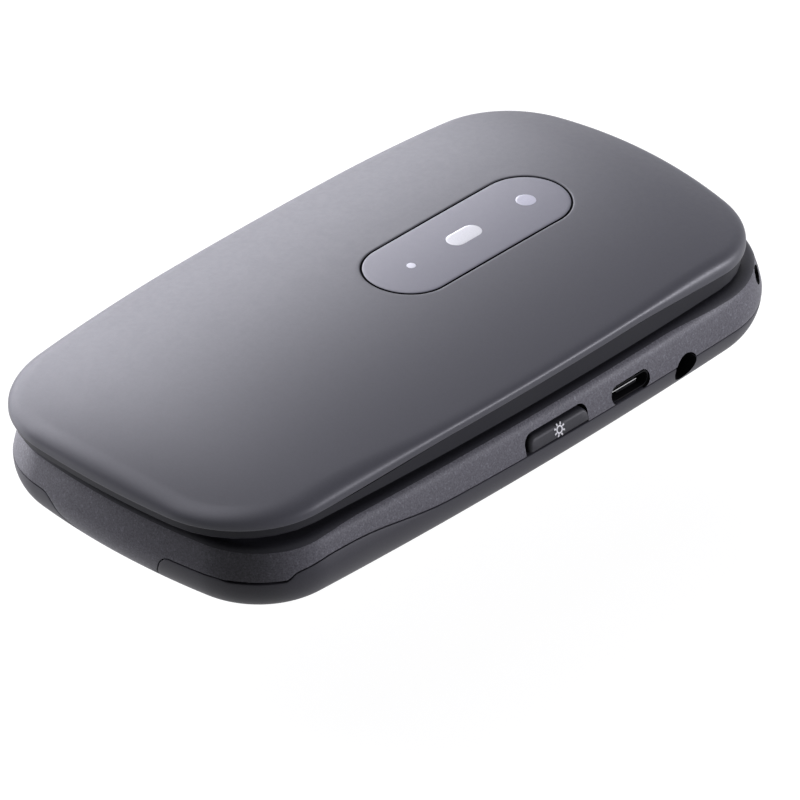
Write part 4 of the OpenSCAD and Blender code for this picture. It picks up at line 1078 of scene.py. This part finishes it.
def key_skin(name, x, y, w, h):
    shell = Shell()

    def loop(grow, z):
        return lift(grown(x, y, w, h, grow), z)

    rings = [loop(KEY_LIP, KEY_LOW), loop(KEY_LIP, KEY_LIP_TOP), loop(0.04, KEY_LIP_TOP),
             loop(0, KEY_LIP_TOP + KEY_EASE)]
    for k in range(7):
        less, z = shoulder(math.pi / 2 * k / 6, KEY_TOP - KEY_BOW)
        rings.append(loop(-less, z))
    last = rings[-1]
    for s in (0.9, 0.75, 0.55, 0.3, 0.1):
        rings.append([(mix(x, px, s), mix(y, py, s), KEY_TOP - KEY_BOW * s ** 3) for px, py, _ in last])
    made = shell.loft(rings)
    shell.fan(made[-1], (x, y, KEY_TOP))
    shell.fan(made[0], (x, y, KEY_LOW), down=True)
    return shell.build(name)


def round_key(name, y, inner, outer, top, lip):
    """A round key, or a ring where inner isn't zero, with soft shoulders and a slight dome."""
    shell = Shell()

    def loop(r, z):
        return lift(circle(0, y, r, 96), z)

    rings = [loop(outer + lip, KEY_LOW), loop(outer + lip, KEY_LIP_TOP), loop(outer + 0.03, KEY_LIP_TOP),
             loop(outer, KEY_LIP_TOP + KEY_EASE)]
    for k in range(7):
        less, z = shoulder(math.pi / 2 * k / 6, top - NAV_BOW)
        rings.append(loop(outer - less, z))
    if inner:
        for f in (0.2, 0.5, 0.8):
            r = mix(outer - KEY_SOFT, inner + KEY_SOFT, f)
            rings.append(loop(r, top - NAV_BOW + NAV_BOW * math.sin(math.pi * f)))
        for k in range(7):
            more, z = shoulder(math.pi / 2 * (1 - k / 6), top - NAV_BOW)
            rings.append(loop(inner + more, z))
        rings.append(loop(inner, KEY_LOW))
        made = shell.loft(rings)
        shell.bridge(made[-1], made[0])
    else:
        for s in (0.9, 0.7, 0.4, 0.15):
            rings.append(loop((outer - KEY_SOFT) * s, top - NAV_BOW * s ** 3))
        made = shell.loft(rings)
        shell.fan(made[-1], (0, y, top))
        shell.fan(made[0], (0, y, KEY_LOW), down=True)
    return shell.build(name)


PRINT_HALF, PRINT_UP = 0.012, 0.004


def mark(name, text, size, x, y, z):
    """Plain lettering as a thin raised print."""
    curve = bpy.data.curves.new(name, "FONT")
    put(curve, body=text, size=size * MM, extrude=PRINT_HALF * MM, align_x="CENTER", align_y="CENTER")
    holder = placed(name + "_text", curve)
    mesh = final_mesh(holder)
    bpy.data.objects.remove(holder)
    mesh.transform(Matrix.Translation((x * MM, y * MM, (z + PRINT_UP) * MM)))
    return placed(name, mesh)


LETTERS = {"1": "", "2": "abc", "3": "def", "4": "ghi", "5": "jkl", "6": "mno", "7": "pqrs", "8": "tuv",
           "9": "wxyz", "star": "", "0": "+", "hash": ""}
SIGNS = {"star": "*", "hash": "#"}
for (kx, ky), key in zip(KEY_PLACES, LETTERS):
    node = "key_" + key
    dress(key_skin(node + "_skin", kx, ky, KEY_W, KEY_H), "key_grey", node, node)
    letters = LETTERS[key]
    shift = -2.4 if letters else 0.0
    if key != "1":
        dress(mark(node + "_sign", SIGNS.get(key, key), 5.4, kx + shift, ky, KEY_TOP), WHITE_INK, node,
              slot="key_grey")
    if letters:
        dress(mark(node + "_letters", letters, 2.7, kx + 2.7, ky, KEY_TOP), WHITE_INK, node, slot="key_grey")
for (kx, ky), node, look in zip(CORNER_PLACES, ("key_soft_l", "key_call", "key_soft_r", "key_end"),
                                ("key_grey", "call_green", "key_grey", "end_red")):
    dress(key_skin(node + "_skin", kx, ky, SIDE_KEY_W, SIDE_KEY_H), look, node, node)
dress(round_key("key_nav_skin", NAV_Y, OK_R + KEY_GAP, NAV_R, KEY_TOP, KEY_LIP), "key_grey", "key_nav",
      "key_nav")
dress(round_key("key_ok_skin", NAV_Y, 0, OK_R, OK_TOP, 0.0), "key_grey", "key_ok", "key_ok")


def flat_mark(name, loops, place):
    """A thin raised print over flat outlines; place turns (u, v, height) into a point in millimetres."""
    shell = Shell()
    for loop in loops:
        low = shell.ring([place(u, v, -0.01) for u, v in loop])
        high = shell.ring([place(u, v, 0.014) for u, v in loop])
        shell.bridge(low, high)
        shell.caps(low, high)
    return upright(shell.build(name))


def arc(r, degrees):
    turns = [math.radians(a) for a in degrees]
    return [(r * math.cos(t), r * math.sin(t) - 1.1) for t in turns]


def handset(turn):
    """A telephone handset seen from the side, as an arched outline."""
    left = [(-2.75, -1.2), (-1.35, -1.5), (-1.2, -0.35)]
    right = [(1.2, -0.35), (1.35, -1.5), (2.75, -1.2)]
    return turned(arc(2.5, range(18, 163, 8)) + left + arc(1.55, range(138, 41, -8)) + right, turn)


def key_mark(name, key, loops, x, y):
    piece = flat_mark(name, loops, lambda u, v, h: (x + u, y + v, KEY_TOP + h))
    dress(piece, WHITE_INK, key, slot="key_grey")


ONE = ((-0.95, 1.2), (-0.05, 1.9), (0.45, 1.9), (0.45, -1.9), (-0.2, -1.9), (-0.2, 1.05), (-0.95, 0.5))
key_mark("key_1_sign", "key_1", [ONE], *KEY_PLACES[0])
key_mark("call_mark", "key_call", [handset(math.radians(35))], -SIDE_KEY_X, NAV_Y - SIDE_KEY_DY)
key_mark("end_mark", "key_end", [handset(0.0)], SIDE_KEY_X, NAV_Y - SIDE_KEY_DY + 0.4)
BAR = rounded(0, 0, 3.4, 0.6, 0.29, 4)
key_mark("soft_l_mark", "key_soft_l", [BAR], -SIDE_KEY_X, NAV_Y + SIDE_KEY_DY)
key_mark("soft_r_mark", "key_soft_r", [BAR], SIDE_KEY_X, NAV_Y + SIDE_KEY_DY)
ARROW = ((8.5, 0), (7.1, 1.0), (7.1, -1.0))
key_mark("nav_arrows", "key_nav", [turned(ARROW, k * math.pi / 2) for k in range(4)], 0, NAV_Y)
dress(mark("ok_mark", "OK", 3.6, 0, NAV_Y, OK_TOP), WHITE_INK, "key_ok", slot="key_grey")


# side keys, with how far each ring of their shoulders grows and drops
SHOULDER = ((0, 3.0), (0, 0.8), (-0.04, 0.56), (-0.13, 0.3), (-0.27, 0.12), (-0.45, 0.03), (-0.65, 0.0))
KEY_TRENCH = 0.5


def side_face(z, low):
    """How far out a side key's face lies at a height."""
    return RIGHT + table(((low, 0.05), (low + 0.8, -0.1), (SIDE_TOP, -0.55)), z)


def tab(y, long, low, grow):
    """A key's end view: rounded above, square below."""
    r = 1.3 + grow
    near = y - long / 2 - grow + KEY_TRENCH
    far = y + long / 2 + SIDE_GAP - 0.03 + 0.2 * grow
    top = SIDE_TOP + grow - KEY_TRENCH
    foot = low - 0.25 * grow
    points = [(mix(near, far, k / 4), foot) for k in range(5)]
    for start, centre in ((0.0, far - r), (math.pi / 2, near + r)):
        for k in range(11):
            t = start + math.pi / 2 * k / 10
            points.append((centre + r * math.cos(t), top - r + r * math.sin(t)))
    return points


def side_key(name, sign, y, long):
    low = cover_edge(y) + SIDE_GAP
    shell = Shell()
    rings = []
    for grow, drop in SHOULDER:
        rings.append([(sign * (side_face(v, low) - drop), u, v) for u, v in tab(y, long, low, grow)])
    last = tab(y, long, low, SHOULDER[-1][0])
    mid = (low + SIDE_TOP) / 2
    for f in (0.8, 0.55, 0.25):
        ring = [(mix(y, u, f), mix(mid, v, f)) for u, v in last]
        rings.append([(sign * side_face(v, low), u, v) for u, v in ring])
    made = shell.loft(rings)
    shell.fan(made[-1], (sign * side_face(mid, low), y, mid))
    shell.faces.append(tuple(reversed(made[0])))
    return upright(shell.build(name, 45))


dress(side_key("torch_key_skin", 1, TORCH_KEY_Y, TORCH_KEY_L), "side_key_grey", "torch_key", "torch_key")
dress(side_key("volume_key_skin", -1, VOLUME_Y, VOLUME_L), "side_key_grey", "volume_key", "volume_key")


def lamp_mark():
    """A plain lamp sign: a ring with eight rays."""
    outer, inner = circle(0, 0, 0.6, 24), circle(0, 0, 0.38, 24)
    loops = [[outer[k - 24], outer[k - 23], inner[k - 23], inner[k - 24]] for k in range(24)]
    ray = ((0.66, -0.12), (1.02, -0.12), (1.02, 0.12), (0.66, 0.12))
    return loops + [turned(ray, 2 * math.pi * (k + 0.5) / 8) for k in range(8)]


torch_low = cover_edge(TORCH_KEY_Y) + SIDE_GAP
volume_low = cover_edge(VOLUME_Y) + SIDE_GAP
LAMP_Y, LAMP_Z, VOLUME_SIGN_Z, VOLUME_SIGN_Y = 3.9, 6.73, 6.8, 4.6
sign_piece = flat_mark("torch_sign", lamp_mark(),
                       lambda u, v, h: (side_face(LAMP_Z + v, torch_low) + h, LAMP_Y + u, LAMP_Z + v))
dress(sign_piece, WHITE_INK, "torch_key", slot="side_key_grey")
plus = [rounded(0, 0, 1.6, 0.24, 0.1, 3), rounded(0, 0, 0.24, 1.6, 0.1, 3)]
signs = [[(u + VOLUME_SIGN_Y, v) for u, v in loop] for loop in plus]
signs.append([(u - VOLUME_SIGN_Y, v) for u, v in plus[0]])
sign_piece = flat_mark("volume_sign", signs,
                       lambda u, v, h: (-side_face(VOLUME_SIGN_Z + v, volume_low) - h, VOLUME_Y + u,
                                        VOLUME_SIGN_Z + v))
dress(sign_piece, WHITE_INK, "volume_key", slot="side_key_grey")

# every other node keeps its form and gets its finish
for entry in frame["record"]["subparts"]:
    item = frame["nodes"].get(entry.get("node") or entry.get("name"))
    look = LOOKS.get(entry.get("material_slot") or entry.get("material"))
    if item is not None and look is not None:
        item.data.materials.clear()
        item.data.materials.append(SCREW_PLATE if entry["node"].endswith("_screws") else look)

# camera, fitted to the photograph: where it looks from, its distance, its small shifts of aim and its lens
AZIMUTH, ELEVATION, TILT = math.radians(43.644), math.radians(33.414), math.radians(-0.158)
AWAY, AIM_RIGHT, AIM_DOWN, LENS, SENSOR, FAR_CLIP = 1.82327, 0.000984, 0.003753, 616.04, 36, 20
TARGET = Vector((0, -0.31, 9.05)) * MM
back = Vector((math.cos(ELEVATION) * math.sin(AZIMUTH), -math.cos(ELEVATION) * math.cos(AZIMUTH),
               math.sin(ELEVATION)))
flat_right = Vector((math.cos(AZIMUTH), math.sin(AZIMUTH), 0))
flat_up = back.cross(flat_right)
right = flat_right * math.cos(TILT) + flat_up * math.sin(TILT)
up = flat_up * math.cos(TILT) - flat_right * math.sin(TILT)
look_at = (right * AIM_RIGHT - back - up * AIM_DOWN).normalized()
across = look_at.cross(up).normalized()
over = across.cross(look_at)
lens = bpy.data.cameras.new("camera")
lens.lens = LENS
lens.sensor_width = SENSOR
lens.clip_end = FAR_CLIP
camera = placed("camera", lens)
turn = Matrix((across, over, -look_at)).transposed().to_4x4()
camera.matrix_world = Matrix.Translation(TARGET + back * AWAY) @ turn
scene.camera = camera

# floor, light and white surround
# the floor lies just below the lifted-off cover, and is clear from behind
COVER_TRAVEL, FLOOR_ROOM, FLOOR_HALF = 0.015, 0.0005, 4
FLOOR_GLOW, WORLD_LIGHT, WHITE = 0.95, 0.02, (1, 1, 1, 1)


def seen_rays(tree):
    """One for the rays that show the background: from the camera, off gloss and through glass."""
    path = add(tree, "ShaderNodeLightPath").outputs
    seen = reckon(tree, "MAXIMUM", path["Is Camera Ray"], path["Is Glossy Ray"])
    return reckon(tree, "MAXIMUM", seen, path["Is Transmission Ray"])


floor_mesh = bpy.data.meshes.new("floor")
floor_z = cad_box[0][2] - COVER_TRAVEL - FLOOR_ROOM
corners = [(x * FLOOR_HALF, y * FLOOR_HALF, floor_z) for x, y in ((-1, -1), (1, -1), (1, 1), (-1, 1))]
floor_mesh.from_pydata(corners, [], [(0, 1, 2, 3)])
floor = placed("floor", floor_mesh)
paper = finish_of("floor_paper", (0.2, 0.2, 0.2), 0.9, 300, 10e-6, 0.01, 0.02, 4, 0.1)
tree = paper.node_tree
shader = tree.nodes["Principled BSDF"]
put(shader, Emission_Color=WHITE)
tree.links.new(spread(tree, seen_rays(tree), 0.0, FLOOR_GLOW, 0.0, 1.0), shader.inputs["Emission Strength"])
behind = add(tree, "ShaderNodeMixShader")
tree.links.new(add(tree, "ShaderNodeNewGeometry").outputs["Backfacing"], behind.inputs[0])
tree.links.new(shader.outputs[0], behind.inputs[1])
tree.links.new(add(tree, "ShaderNodeBsdfTransparent").outputs[0], behind.inputs[2])
tree.links.new(behind.outputs[0], tree.nodes["Material Output"].inputs["Surface"])
paint(floor, paper)
floor.visible_shadow = False

# each lamp's name, place, width, height and power, in metres and watts
LAMP_AIM, LAMP_COLOUR = Vector((0, 0, 0.01)), (0.92, 0.91, 1.0)
LAMPS = (
    ("low_window", (-1.4, 0.25, 0.46), 2.0, 0.85, 21),
    ("left_high", (-1.05, 0.5, 0.85), 0.9, 0.9, 12.2),
    ("left_near_high", (-1.2, -0.1, 0.85), 0.9, 0.6, 3.2),
    ("top_left", (-0.6, 0.0, 1.3), 0.8, 0.8, 2.4),
    ("table_left", (-1.2, 0.3, -0.25), 2.4, 0.4, 18),
    ("table_near_left", (-1.15, -0.3, -0.25), 0.8, 0.3, 9),
    ("right_low", (0.9, 0.85, 0.15), 0.5, 0.2, 12),
)
for name, place, wide, high, power in LAMPS:
    light = bpy.data.lights.new(name, "AREA")
    put(light, shape="RECTANGLE", size=wide, size_y=high, energy=power, color=LAMP_COLOUR)
    made = placed(name, light)
    made.location = place
    made.rotation_euler = (LAMP_AIM - Vector(place)).to_track_quat("-Z", "Y").to_euler()
world = bpy.data.worlds.new("surround")
scene.world = world
world.use_nodes = True
surround = world.node_tree
shade = surround.nodes["Background"]
shade.inputs["Color"].default_value = WHITE
level = spread(surround, seen_rays(surround), WORLD_LIGHT, 1.0, 0.0, 1.0)
surround.links.new(level, shade.inputs["Strength"])
scene.view_settings.view_transform = "Standard"
